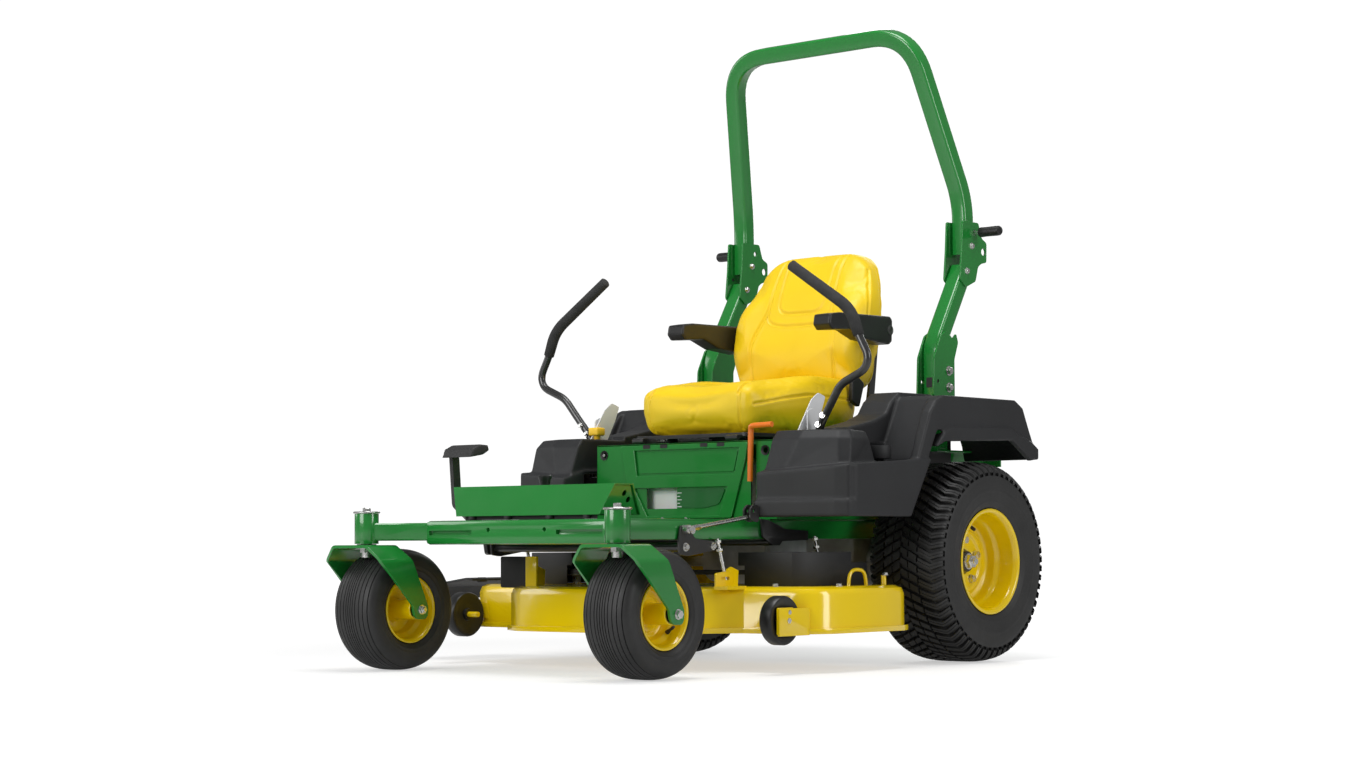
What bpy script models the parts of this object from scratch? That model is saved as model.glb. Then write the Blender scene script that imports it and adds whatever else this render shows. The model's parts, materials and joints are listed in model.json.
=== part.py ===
"""Riding lawn mower with two steering levers, a folding roll bar and a three-blade mowing deck.

Sizes are in metres. Each sub-part is built in the axle frame: x is zero on the middle plane and
positive on the machine's left, y is zero on the rear axle and negative towards the front, and z is
zero on the ground. One empty carries the whole model, so that the origin lies under the middle of
the machine's box.
"""
import math

import bmesh
import bpy
from mathutils import Matrix, Vector

# ---- driving dimensions -------------------------------------------------------------------------
GAP = 0.0003                    # air between pieces that rest on each other
FRONT_AXLE_Y = -1.2504          # wheelbase
KINGPIN_Y = -1.3493             # caster swivel, ahead of its wheel
FRONT_WHEEL_X = 0.4458
REAR_WHEEL_X = 0.5223
FRONT_TYRE_R = 0.1616
FRONT_TYRE_W = 0.152
REAR_TYRE_R = 0.2794
REAR_TYRE_W = 0.250
RAIL_X = 0.305                  # middle of a frame rail
RAIL_LOW = 0.344
RAIL_HIGH = 0.393
RAIL_WIDTH = 0.050
TUBE = 0.050                    # side of the roll bar's square tube
ROPS_X = 0.410
HOOP_HINGE = (0.212, 1.195)     # y and z of the roll bar's fold axis
SEAT_HINGE = (-0.566, 0.622)    # y and z of the seat's tilt axis
ARMREST_HINGE = (-0.014, 0.944)
LEVER_PIVOT = (0.400, -0.490, 0.560)
LIFT_SHAFT = (-0.968, 0.324)    # y and z of the front lift shaft
REAR_LIFT_SHAFT = (-0.588, 0.3350)
SPINDLE_SIDE = (0.392, -0.585)
SPINDLE_MIDDLE = (0.0, -0.765)
BLADE_R = 0.212
PULLEY_R = 0.055
BLADE_Z = 0.128
DECK_LOW = 0.100
DECK_HIGH = 0.220
DECK_SIDE = 0.620
CHUTE_REACH = 0.850
REAR_REACH = 0.515
FRONT_REACH = -FRONT_AXLE_Y + FRONT_TYRE_R
SIDE_REACH = REAR_WHEEL_X + REAR_TYRE_W / 2
MODEL_SHIFT = Vector(((CHUTE_REACH - SIDE_REACH) / 2, (FRONT_REACH - REAR_REACH) / 2, 0.0))

MATERIALS = {                   # colour, roughness, metallic
    "green_paint": ((0.03, 0.22, 0.05), 0.35, 0.0),
    "yellow_paint": ((0.90, 0.70, 0.0), 0.30, 0.0),
    "yellow_vinyl": ((0.92, 0.74, 0.02), 0.50, 0.0),
    "black_plastic": ((0.03, 0.03, 0.032), 0.65, 0.0),
    "black_paint": ((0.012, 0.012, 0.012), 0.40, 0.0),
    "rubber": ((0.018, 0.018, 0.018), 0.85, 0.0),
    "steel": ((0.62, 0.62, 0.62), 0.30, 1.0),
    "cast_metal": ((0.35, 0.35, 0.36), 0.55, 0.8),
    "tank_plastic": ((0.80, 0.80, 0.78), 0.50, 0.0),
    "orange_paint": ((0.85, 0.22, 0.02), 0.40, 0.0),
    "yellow_knob": ((0.90, 0.60, 0.05), 0.45, 0.0),
}


# ---- scene and solids ---------------------------------------------------------------------------
def clear_scene():
    for item in list(bpy.data.objects):
        bpy.data.objects.remove(item, do_unlink=True)


def make_collection(name):
    group = bpy.data.collections.new(name)
    bpy.context.scene.collection.children.link(group)
    return group


def make_materials():
    made = {}
    for name, (colour, roughness, metallic) in MATERIALS.items():
        material = bpy.data.materials.new(name)
        material.use_nodes = True
        shader = material.node_tree.nodes["Principled BSDF"]
        shader.inputs["Base Color"].default_value = (*colour, 1.0)
        shader.inputs["Roughness"].default_value = roughness
        shader.inputs["Metallic"].default_value = metallic
        made[name] = material
    return made


def baked(item):
    """Replace an object by its evaluated, welded mesh in place."""
    bpy.context.view_layer.update()
    graph = bpy.context.evaluated_depsgraph_get()
    mesh = bpy.data.meshes.new_from_object(item.evaluated_get(graph))
    mesh.transform(item.matrix_world)
    work = bmesh.new()
    work.from_mesh(mesh)
    bmesh.ops.remove_doubles(work, verts=work.verts, dist=0.00002)
    bmesh.ops.recalc_face_normals(work, faces=work.faces)
    work.to_mesh(mesh)
    work.free()
    mesh.materials.clear()
    bpy.data.objects.remove(item, do_unlink=True)
    return link(mesh)


def link(mesh):
    item = bpy.data.objects.new("solid", mesh)
    PARTS.objects.link(item)
    return item


def from_bmesh(work):
    bmesh.ops.recalc_face_normals(work, faces=work.faces)
    mesh = bpy.data.meshes.new("solid")
    work.to_mesh(mesh)
    work.free()
    return link(mesh)


def block(low, high, bevel=0.0, segments=2):
    """A box between two corners, with rounded edges if asked."""
    low = Vector(low)
    high = Vector(high)
    work = bmesh.new()
    bmesh.ops.create_cube(work, size=1.0)
    bmesh.ops.scale(work, vec=high - low, verts=work.verts)
    bmesh.ops.translate(work, vec=(low + high) / 2, verts=work.verts)
    if bevel:
        bmesh.ops.bevel(work, geom=work.edges[:], offset=bevel, segments=segments, profile=0.5,
                        affect="EDGES")
    return from_bmesh(work)


def turn_to(axis):
    """Rotation that takes +Z to the named axis."""
    if axis == "X":
        return Matrix.Rotation(math.pi / 2, 4, "Y")
    if axis == "Y":
        return Matrix.Rotation(-math.pi / 2, 4, "X")
    return Matrix.Identity(4)


def cylinder(start, end, radius, axis="Z", steps=20, top_radius=None):
    """A cylinder or cone along an axis, from its start point over a signed length."""
    work = bmesh.new()
    depth = abs(end)
    bmesh.ops.create_cone(work, cap_ends=True, segments=steps, radius1=radius,
                          radius2=radius if top_radius is None else top_radius, depth=depth)
    bmesh.ops.translate(work, vec=(0, 0, end / 2), verts=work.verts)
    bmesh.ops.transform(work, matrix=Matrix.Translation(start) @ turn_to(axis), verts=work.verts)
    return from_bmesh(work)


def prism(outline, axis, low, high, holes=()):
    """A flat outline extruded between two values of an axis."""
    curve = bpy.data.curves.new("outline", "CURVE")
    curve.dimensions = "2D"
    curve.fill_mode = "BOTH"
    curve.extrude = (high - low) / 2
    for loop in (outline, *holes):
        spline = curve.splines.new("POLY")
        spline.points.add(len(loop) - 1)
        spline.use_cyclic_u = True
        for point, (across, up) in zip(spline.points, loop):
            point.co = (across, up, 0.0, 1.0)
    item = bpy.data.objects.new("outline", curve)
    PARTS.objects.link(item)
    middle = (low + high) / 2
    # The outline's two numbers are (y, z), (x, z) or (x, y), in that order.
    columns = {"X": ((0, 1, 0), (0, 0, 1), (1, 0, 0)),
               "Y": ((1, 0, 0), (0, 0, 1), (0, -1, 0)),
               "Z": ((1, 0, 0), (0, 1, 0), (0, 0, 1))}[axis]
    turned_frame = Matrix(columns).transposed().to_4x4()
    shift = {"X": (middle, 0, 0), "Y": (0, middle, 0), "Z": (0, 0, middle)}[axis]
    item.matrix_world = Matrix.Translation(shift) @ turned_frame
    return baked(item)


def tube(points, radius, resolution=3):
    """A round bar along a path, with closed ends."""
    curve = bpy.data.curves.new("tube", "CURVE")
    curve.dimensions = "3D"
    curve.bevel_depth = radius
    curve.bevel_resolution = resolution
    curve.use_fill_caps = True
    spline = curve.splines.new("POLY")
    spline.points.add(len(points) - 1)
    for point, place in zip(spline.points, points):
        point.co = (*place, 1.0)
    item = bpy.data.objects.new("tube", curve)
    PARTS.objects.link(item)
    return baked(item)


def turned(profile, centre, axis="X", steps=32, phase=0.0):
    """A closed profile of (along, radius) points, turned about an axis through a centre."""
    mesh = bpy.data.meshes.new("profile")
    count = len(profile)
    edges = [(index, (index + 1) % count) for index in range(count)]
    mesh.from_pydata([(radius, 0.0, along) for along, radius in profile], edges, [])
    item = link(mesh)
    screw = item.modifiers.new("turn", "SCREW")
    screw.axis = "Z"
    screw.steps = steps
    screw.render_steps = steps
    screw.use_merge_vertices = True
    screw.merge_threshold = 0.00001
    item.matrix_world = Matrix.Translation(centre) @ turn_to(axis) @ Matrix.Rotation(phase, 4, "Z")
    return baked(item)


def bent_path(corners, reach, steps=4):
    """Straight runs whose inner corners are rounded over a reach on each side."""
    corners = [Vector(corner) for corner in corners]
    points = [corners[0]]
    for before, corner, after in zip(corners, corners[1:], corners[2:]):
        start = corner + (before - corner).normalized() * reach
        end = corner + (after - corner).normalized() * reach
        for index in range(steps + 1):
            part = index / steps
            points.append(start * (1 - part) ** 2 + corner * 2 * part * (1 - part) + end * part ** 2)
    points.append(corners[-1])
    return points


def square_tube(path, width, facing, corner=0.008):
    """A square bar with eased corners swept along a path; one side keeps to the facing axis."""
    half = width / 2
    inset = half - corner
    section = [(half, -inset), (half, inset), (inset, half), (-inset, half),
               (-half, inset), (-half, -inset), (-inset, -half), (inset, -half)]
    work = bmesh.new()
    rings = []
    for index, place in enumerate(path):
        before = path[max(index - 1, 0)]
        after = path[min(index + 1, len(path) - 1)]
        along = (after - before).normalized()
        side = (facing - along * facing.dot(along)).normalized()
        other = along.cross(side)
        rings.append([work.verts.new(place + side * a + other * b) for a, b in section])
    for ring, following in zip(rings, rings[1:]):
        for index in range(len(section)):
            step = (index + 1) % len(section)
            work.faces.new((ring[index], ring[step], following[step], following[index]))
    work.faces.new(rings[0][::-1])
    work.faces.new(rings[-1])
    return from_bmesh(work)


def joined(pieces, cuts=(), keep=()):
    """Union of pieces, less the cuts, kept within the last shapes if any are given."""
    base = pieces[0]
    groups = (("UNION", pieces[1:]), ("INTERSECT", keep), ("DIFFERENCE", cuts))
    for operation, others in groups:
        for other in others:
            step = base.modifiers.new(operation.lower(), "BOOLEAN")
            step.operation = operation
            step.solver = "EXACT"
            step.object = other
            base = baked(base)
            bpy.data.objects.remove(other, do_unlink=True)
    return base


def mirrored(item):
    """A copy of a solid on the machine's other side."""
    mesh = item.data.copy()
    mesh.transform(Matrix.Diagonal((-1, 1, 1, 1)))
    mesh.flip_normals()
    return link(mesh)


def finish(name, item, material, pivot=(0, 0, 0)):
    """Name a solid, colour it, and put its origin on its joint's axis."""
    item.name = name
    item.data.name = name
    item.data.transform(Matrix.Translation(-Vector(pivot)))
    item.location = pivot
    item.data.materials.clear()
    item.data.materials.append(PAINT[material])
    item.data.shade_smooth()
    item.data.set_sharp_from_angle(angle=math.radians(32))
    item.parent = CARRIER
    return item


def pair(name, item, material, pivot=(0, 0, 0)):
    """Finish a left-hand solid and its mirrored right-hand twin."""
    other = mirrored(item)
    finish(name + "_left", item, material, pivot)
    finish(name + "_right", other, material, (-pivot[0], pivot[1], pivot[2]))


# ---- frame --------------------------------------------------------------------------------------
def build_rails():
    half = RAIL_WIDTH / 2
    wall = 0.003
    outer = block((RAIL_X - half, -1.1926, RAIL_LOW), (RAIL_X + half, 0.470, RAIL_HIGH))
    hollow = block((RAIL_X - half + wall, -1.3, RAIL_LOW + wall),
                   (RAIL_X + half - wall, 0.6, RAIL_HIGH - wall))
    pair("rail", joined([outer], [hollow]), "green_paint")


def beam_slots():
    cuts = []
    for side in (-1, 1):
        low, high = sorted((side * 0.151, side * 0.309))
        cuts.append(block((low, -1.27, 0.358), (high, -1.24, 0.370)))
    for across in (-0.09, 0.11):
        cuts.append(cylinder((across, -1.27, 0.371), 0.03, 0.006, "Y", 12))
    return cuts


def build_front_beam():
    sleeve = block((-0.324, -1.253, 0.333), (0.324, -1.193, 0.396), 0.010)
    inside = block((-0.312, -1.247, 0.339), (0.312, -1.199, 0.390))
    pieces = [joined([sleeve], [inside] + beam_slots())]
    bores = []
    for side in (-1, 1):
        inner_end = Vector((side * 0.3185, -1.2190, 0.3675))
        outer_end = Vector((side * (FRONT_WHEEL_X - 0.01), KINGPIN_Y + 0.01, 0.3675))
        pieces.append(square_tube([inner_end, outer_end], 0.047, Vector((0, 0, 1)), 0.004))
        pieces.append(cylinder((side * FRONT_WHEEL_X, KINGPIN_Y, 0.336), 0.080, 0.032, "Z", 24))
        bores.append(cylinder((side * FRONT_WHEEL_X, KINGPIN_Y, 0.30), 0.2, 0.0163, "Z", 20))
    finish("front_beam", joined(pieces, bores), "green_paint")


def build_rear_frame():
    plate = block((-0.329, -0.120, RAIL_HIGH + GAP), (0.329, 0.450, 0.4015))
    pieces = [plate]
    for side in (-1, 1):
        low, high = sorted((side * 0.318, side * 0.324))
        pieces.append(block((low, 0.115, 0.398), (high, 0.440, 0.600)))
        low, high = sorted((side * 0.320, side * 0.385))
        pieces.append(prism([(0.115, 0.594), (0.115, 0.600), (0.440, 0.600), (0.440, 0.556), (0.434, 0.556),
                             (0.434, 0.594)], "X", low, high))
    shaft_hole = cylinder((0, 0.200, 0.38), 0.05, 0.040, "Z", 24)
    finish("rear_frame", joined(pieces, [shaft_hole]), "green_paint")


def build_floor_pan():
    pan = block((-0.327, -1.190, RAIL_HIGH + GAP), (0.327, -0.600, 0.3970))
    finish("floor_pan", pan, "green_paint")


def build_foot_guard():
    section = [(-1.205, 0.4075), (-1.182, 0.486), (-1.111, 0.486), (-1.045, 0.4075)]
    inner = [(-1.200, 0.400), (-1.1798, 0.483), (-1.1124, 0.483), (-1.046, 0.400)]
    ends = [(-0.252, 0.40), (-0.288, 0.490), (0.288, 0.490), (0.252, 0.40)]
    inner_ends = [(-0.249, 0.39), (-0.285, 0.483), (0.285, 0.483), (0.249, 0.39)]
    outer = joined([prism(section, "X", -0.3, 0.3)], keep=[prism(ends, "Y", -1.3, -1.0)])
    hollow = joined([prism(inner, "X", -0.3, 0.3)], keep=[prism(inner_ends, "Y", -1.3, -1.0)])
    feet = []
    for across in (-0.20, -0.07, 0.07, 0.20):
        feet.append(cylinder((across, -1.197, 0.3975), 0.020, 0.009, "Z", 12))
    finish("foot_guard", joined([joined([outer], [hollow])] + feet), "green_paint")


# ---- seat base ----------------------------------------------------------------------------------
def build_seat_tower():
    low = (-0.312, -0.585, 0.3975)
    high = (0.338, -0.120, 0.612)
    outer = block(low, high, 0.006, 2)
    wall = 0.004
    inside = block((low[0] + wall, low[1] + wall, 0.3), (high[0] - wall, high[1] - wall, 0.7))
    band = block((-0.165, -0.60, 0.523), (0.215, -0.583, 0.594))
    opening = block((-0.125, -0.60, 0.430), (-0.014, -0.57, 0.487), 0.004)
    gap = block((0.250, -0.60, 0.425), (0.268, -0.57, 0.63))
    holes = [cylinder((-0.284, -0.60, 0.584), 0.03, 0.011, "Y", 16),
             cylinder((0.300, -0.60, 0.584), 0.03, 0.011, "Y", 16)]
    floor_gap = block((-0.28, -0.5, 0.39), (0.29, -0.1, 0.44))
    shelf_low = block((-0.31, -0.584, 0.400), (0.336, -0.560, 0.404))
    shell = joined([outer], [inside])
    finish("seat_tower", joined([shell, shelf_low], [band, opening, gap, floor_gap] + holes), "green_paint")


def build_tank():
    tank = block((-0.290, -0.556, 0.4045), (-0.030, -0.180, 0.580), 0.020, 3)
    finish("fuel_tank", tank, "tank_plastic")


def build_brake_handle():
    path = bent_path([(0.259, -0.596, 0.501), (0.262, -0.600, 0.633), (0.262, -0.606, 0.648),
                      (0.335, -0.606, 0.648)], 0.012, 3)
    pivot = (0.259, -0.596, 0.501)
    finish("brake_handle", tube(path, 0.006, 2), "orange_paint", pivot)


# ---- side mouldings -----------------------------------------------------------------------------
SIDE_SKIN = 0.005
CONSOLE_BACK = -0.415             # y of the seam between console and fender
FENDER_OUTLINE = [(-0.600, 0.402), (-0.334, 0.402), (-0.196, 0.640), (0.130, 0.640), (0.268, 0.574),
                  (0.286, 0.602), (0.236, 0.716), (0.190, 0.736), (-0.150, 0.736), (-0.226, 0.694),
                  (-0.300, 0.556), (-0.600, 0.530)]


def inset_outline(outline, amount):
    """An outline moved inwards by an amount, corner by corner."""
    points = [Vector(point) for point in outline]
    area = sum(a.x * b.y - b.x * a.y for a, b in zip(points, points[1:] + points[:1]))
    turn = 1 if area > 0 else -1
    moved = []
    for index, here in enumerate(points):
        before = (here - points[index - 1]).normalized()
        after = (points[(index + 1) % len(points)] - here).normalized()
        normal_before = Vector((-before.y, before.x)) * turn
        normal_after = Vector((-after.y, after.x)) * turn
        middle = (normal_before + normal_after).normalized()
        moved.append(here + middle * amount / max(middle.dot(normal_before), 0.3))
    return [tuple(point) for point in moved]


def build_fenders():
    skin = SIDE_SKIN
    pod_plan = [(0.348, -0.690), (0.592, -0.606), (0.605, -0.590), (0.605, -0.40), (0.348, -0.40)]
    upper_plan = [(0.352, -0.622), (0.400, -0.640), (0.560, -0.585), (0.590, -0.530), (0.560, -0.430),
                  (0.352, -0.430)]
    outer = joined([prism(FENDER_OUTLINE, "X", 0.348, 0.605),
                    prism(pod_plan, "Z", 0.402, 0.4799),
                    prism(upper_plan, "Z", 0.47, 0.632)])
    inner = joined([prism(inset_outline(FENDER_OUTLINE, skin), "X", 0.30, 0.600),
                    prism(inset_outline(pod_plan, skin), "Z", 0.395, 0.4749),
                    prism(inset_outline(upper_plan, skin), "Z", 0.46, 0.627)])
    under = [block((0.29, -0.592, 0.38), (0.5995, -0.34, 0.45)),
             block((0.29, -0.190, 0.60), (0.565, 0.24, 0.70)),
             prism([(-0.36, 0.39), (-0.32, 0.39), (-0.17, 0.655), (-0.21, 0.655)], "X", 0.29, 0.565),
             prism([(0.10, 0.62), (0.10, 0.66), (0.29, 0.595), (0.255, 0.56)], "X", 0.29, 0.565)]
    pocket = block((0.440, -0.410, 0.470), (0.575, -0.295, 0.565))
    pocket_inside = block((0.445, -0.405, 0.475), (0.570, -0.300, 0.75))
    lever_slot = block((0.372, -0.560, 0.60), (0.480, -0.400, 0.66))
    post_slot = block((0.375, -0.005, 0.70), (0.445, 0.130, 0.76))
    rear_inner = block((0.29, 0.06, 0.55), (0.395, 0.32, 0.66))
    shell = joined([outer], [inner] + under)
    body = joined([shell, pocket], [pocket_inside, lever_slot, post_slot, rear_inner])
    twin = link(body.data.copy())
    ahead = block((0.30, -0.75, 0.35), (0.65, CONSOLE_BACK - GAP, 0.80))
    behind = block((0.30, CONSOLE_BACK + GAP, 0.35), (0.65, 0.35, 0.80))
    pair("console", joined([body], keep=[ahead]), "black_plastic")
    pair("fender", joined([twin], keep=[behind]), "black_plastic")


def build_small_controls():
    knob = joined([cylinder((-0.372, -0.520, 0.6325), 0.018, 0.009, "Z", 12),
                   block((-0.390, -0.538, 0.645), (-0.354, -0.502, 0.668), 0.004)])
    finish("pto_knob", knob, "yellow_knob", (-0.372, -0.520, 0.6325))
    stem = cylinder((-0.250, -0.868, 0.3975), 0.090, 0.007, "Z", 12)
    head = cylinder((-0.250, -0.868, 0.480), 0.042, 0.011, "Z", 16, 0.019)
    finish("height_knob", joined([stem, head]), "black_plastic", (-0.250, -0.868, 0.3975))
    cap = joined([cylinder((0.506, -0.352, 0.4755), 0.090, 0.016, "Z", 16),
                  cylinder((0.506, -0.352, 0.560), 0.036, 0.036, "Z", 24),
                  block((0.480, -0.358, 0.590), (0.532, -0.346, 0.606))])
    finish("fuel_cap", cap, "black_plastic", (0.506, -0.352, 0.4755))


# ---- roll bar -----------------------------------------------------------------------------------
def build_rops_posts():
    x = ROPS_X
    riser = block((0.285, 0.035, RAIL_HIGH + 0.009), (0.3175, 0.085, 0.61))
    cross = block((0.285, 0.0352, 0.592), (0.4348, 0.0848, 0.640))
    corners = [(x, 0.060, 0.600), (x, 0.060, 0.893), (x, 0.205, 1.128)]
    post = square_tube(bent_path(corners, 0.03), TUBE, Vector((1, 0, 0)))
    pieces = [riser, cross, post]
    base = [(0.004, 0.756), (0.128, 0.756), (0.128, 0.86), (0.10, 0.93), (0.004, 0.93)]
    upper = [(0.150, 1.090), (0.236, 1.095), (0.244, 1.144), (0.290, 1.150), (0.290, 1.212), (0.262, 1.222),
             (0.250, 1.262), (0.160, 1.262)]
    for low, high in ((0.3800, 0.3852), (0.4348, 0.4400)):
        pieces.append(prism(base, "X", low, high))
        pieces.append(prism(upper, "X", low, high))
    holes = [cylinder((0.35, 0.230, 1.235), 0.12, 0.0066, "X", 14),
             cylinder((0.35, 0.186, 1.166), 0.12, 0.0050, "X", 12)]
    cap_bolts = []
    for z in (0.774, 0.820):
        cap_bolts.append(cylinder((0.4380, 0.083, z), 0.012, 0.010, "X", 6))
    pair("rops_post", joined(pieces + cap_bolts, holes), "green_paint")


def build_rops_hoop():
    x = ROPS_X
    y = HOOP_HINGE[0]
    left = [(x, y, 1.1700), (x, y, 1.330), (0.330, 0.065, 1.815)]
    right = [(-a, b, c) for a, b, c in reversed(left)]
    corners = [Vector(point) for point in left + right]
    path = [corners[0]]
    reaches = (0.045, 0.100, 0.100, 0.045)
    for before, corner, after, reach in zip(corners, corners[1:], corners[2:], reaches):
        path += bent_path([before, corner, after], reach, 6)[1:-1]
    path.append(corners[-1])
    ends = [path[0] - Vector((0, 0, 0.02)), path[-1] - Vector((0, 0, 0.02))]
    hoop = square_tube(path, TUBE - 0.001, Vector((0, -1, 0)))
    inside = square_tube([ends[0], *path[1:-1], ends[1]], TUBE - 0.008, Vector((0, -1, 0)), 0.006)
    finish("rops_hoop", joined([hoop], [inside]), "green_paint", (0, *HOOP_HINGE))


def build_rops_pins():
    pieces = [cylinder((0.4368, 0.230, 1.235), 0.030, 0.0060, "X", 12),
              cylinder((0.4560, 0.230, 1.235), 0.074, 0.0150, "X", 20)]
    pair("rops_pin", joined(pieces), "black_plastic", (0.4368, 0.230, 1.235))


# ---- seat ---------------------------------------------------------------------------------------
def build_seat():
    hinge = (0, *SEAT_HINGE)
    plate = block((-0.205, -0.545, 0.626), (0.205, -0.020, 0.636), 0.003, 1)
    knuckles = [cylinder((side * 0.17 - 0.02, *SEAT_HINGE), 0.04, 0.008, "X", 12) for side in (-1, 1)]
    leaves = [block((side * 0.17 - 0.018, -0.566, 0.6215), (side * 0.17 + 0.018, -0.53, 0.630))
              for side in (-1, 1)]
    arms = []
    for side in (-1, 1):
        low, high = sorted((side * 0.190, side * 0.198))
        arms.append(prism([(-0.10, 0.630), (0.050, 0.630), (0.105, 0.700), (0.135, 0.95), (0.120, 0.95),
                           (0.075, 0.72), (0.030, 0.645), (-0.10, 0.645)], "X", low, high))
    pan = joined([plate] + knuckles + leaves + arms)
    finish("seat_pan", pan, "black_paint", hinge)
    cushion_side = [(-0.548, 0.655), (-0.552, 0.740), (-0.520, 0.778), (-0.400, 0.775), (-0.080, 0.770),
                    (-0.060, 0.760), (-0.030, 0.655), (-0.060, 0.6455), (-0.500, 0.6455)]
    cushion_front = [(-0.242, 0.66), (-0.248, 0.74), (-0.215, 0.79), (0.215, 0.79), (0.248, 0.74),
                     (0.242, 0.66), (0.200, 0.64), (-0.200, 0.64)]
    cushion = joined([prism(cushion_side, "X", -0.3, 0.3)], keep=[prism(cushion_front, "Y", -0.7, 0.1)])
    finish("seat_cushion", cushion, "yellow_vinyl", hinge)
    back_side = [(-0.070, 0.7735), (-0.062, 0.900), (-0.040, 1.040), (0.020, 1.150), (0.075, 1.186),
                 (0.118, 1.178), (0.126, 1.120), (0.080, 0.960), (0.045, 0.820), (0.020, 0.7735)]
    back_front = [(-0.186, 0.77), (-0.186, 0.98), (-0.180, 1.08), (-0.150, 1.150), (-0.095, 1.195),
                  (0.095, 1.195), (0.150, 1.150), (0.180, 1.08), (0.186, 0.98), (0.186, 0.77)]
    back = joined([prism(back_side, "X", -0.3, 0.3)], keep=[prism(back_front, "Y", -0.2, 0.3)])
    wide = [(-0.060, 0.840), (-0.040, 1.000), (-0.010, 1.050), (0.030, 1.050), (0.062, 0.950),
            (0.048, 0.840)]
    bolster_side = prism(wide, "X", -0.236, 0.236)
    finish("seat_back", joined([back, bolster_side]), "yellow_vinyl", hinge)


def build_armrests():
    side = [(-0.314, 0.968), (-0.306, 0.979), (0.036, 0.985), (0.036, 0.902), (-0.140, 0.912),
            (-0.298, 0.932)]
    arm = prism(side, "X", 0.2365 + GAP, 0.300)
    pair("armrest", arm, "black_plastic", (0.27, *ARMREST_HINGE))


# ---- steering levers ----------------------------------------------------------------------------
def build_levers():
    x, y, z = LEVER_PIVOT
    yoke = joined([cylinder((x - 0.034, y, z), 0.016, 0.014, "X", 14),
                   block((x - 0.0225, y - 0.015, z - 0.036), (x - 0.0175, y + 0.015, z + 0.015)),
                   block((x - 0.0205, y - 0.0145, z - 0.034), (x + 0.014, y + 0.0145, z - 0.020))])
    pair("lever_yoke", yoke, "steel", (x, y, z))
    low = bent_path([(x, y, z - 0.012), (x + 0.004, y, z + 0.060), (0.445, -0.500, 0.680),
                     (0.490, -0.512, 0.760), (0.586, -0.516, 0.790), (0.560, -0.516, 0.893),
                     (0.545, -0.516, 0.940), (0.345, -0.516, 1.086)], 0.016, 3)
    grip = bent_path([(0.562, -0.516, 0.885), (0.545, -0.516, 0.940), (0.339, -0.516, 1.090)], 0.030, 4)
    lever = joined([tube(low, 0.011, 2), tube(grip, 0.016, 2)])
    pair("lever", lever, "black_paint", (x, y, z))


# ---- wheels -------------------------------------------------------------------------------------
def tyre_section(radius, width, bead_radius, bead_half, wall):
    """Hollow tyre section, open towards the rim, as (along, radius) points."""
    half = width / 2
    height = radius - bead_radius
    outside = [(bead_half, bead_radius), (half, radius - 0.62 * height),
               (half - 0.002, radius - 0.28 * height), (half - 0.012, radius - 0.08 * height),
               (half - 0.034, radius)]
    inside = [(half - 0.040, radius - wall), (half - wall - 0.004, radius - 0.55 * height),
              (bead_half - wall, bead_radius)]
    left = [(-along, r) for along, r in reversed(outside)]
    left_inside = [(-along, r) for along, r in reversed(inside)]
    return outside + left + left_inside + inside


def rim_section(flange, flange_half, seat, well, disc_at, hub_r, hub_inner, hub_outer, bore, skin=0.004):
    """Rim section with a centre disc and a hub, as a closed loop of (along, radius) points."""
    lip = 0.011
    return [(flange_half, flange), (flange_half, flange - 0.005), (flange_half - lip, seat - skin),
            (0.45 * flange_half, well - skin), (disc_at + skin, well - skin), (disc_at + skin, hub_r),
            (hub_outer, hub_r), (hub_outer, bore), (hub_inner, bore), (hub_inner, hub_r), (disc_at, hub_r),
            (disc_at, well - skin), (-0.45 * flange_half, well - skin), (-flange_half + lip, seat - skin),
            (-flange_half, flange - 0.005), (-flange_half, flange), (-flange_half + lip, seat),
            (-0.45 * flange_half, well), (0.45 * flange_half, well), (flange_half - lip, seat)]


def turned_tyre(section, centre, steps):
    """A tyre whose lowest facet lies flat on the ground at its full radius."""
    half_step = math.pi / steps
    grown = [(along, radius / math.cos(half_step)) for along, radius in section]
    return turned(grown, centre, "X", steps, half_step)


def build_rear_wheels():
    centre = (REAR_WHEEL_X, 0.0, REAR_TYRE_R)
    rim = rim_section(0.1454, 0.1105, 0.1270, 0.1180, 0.016, 0.046, -0.070, 0.036, 0.0163)
    pair("drive_rim", turned(rim, centre, "X", 20), "yellow_paint", centre)
    tyre = tyre_section(REAR_TYRE_R, REAR_TYRE_W, 0.1460, 0.0985, 0.012)
    pair("drive_tyre", turned_tyre(tyre, centre, 24), "rubber", centre)


def build_front_wheels():
    centre = (FRONT_WHEEL_X, FRONT_AXLE_Y, FRONT_TYRE_R)
    rim = rim_section(0.0892, 0.0650, 0.0762, 0.0640, 0.000, 0.024, -0.0890, 0.0890, 0.0098)
    pair("caster_rim", turned(rim, centre, "X", 20), "yellow_paint", centre)
    tyre = tyre_section(FRONT_TYRE_R, FRONT_TYRE_W, 0.0897, 0.0530, 0.009)
    pair("caster_tyre", turned_tyre(tyre, centre, 20), "rubber", centre)


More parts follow.
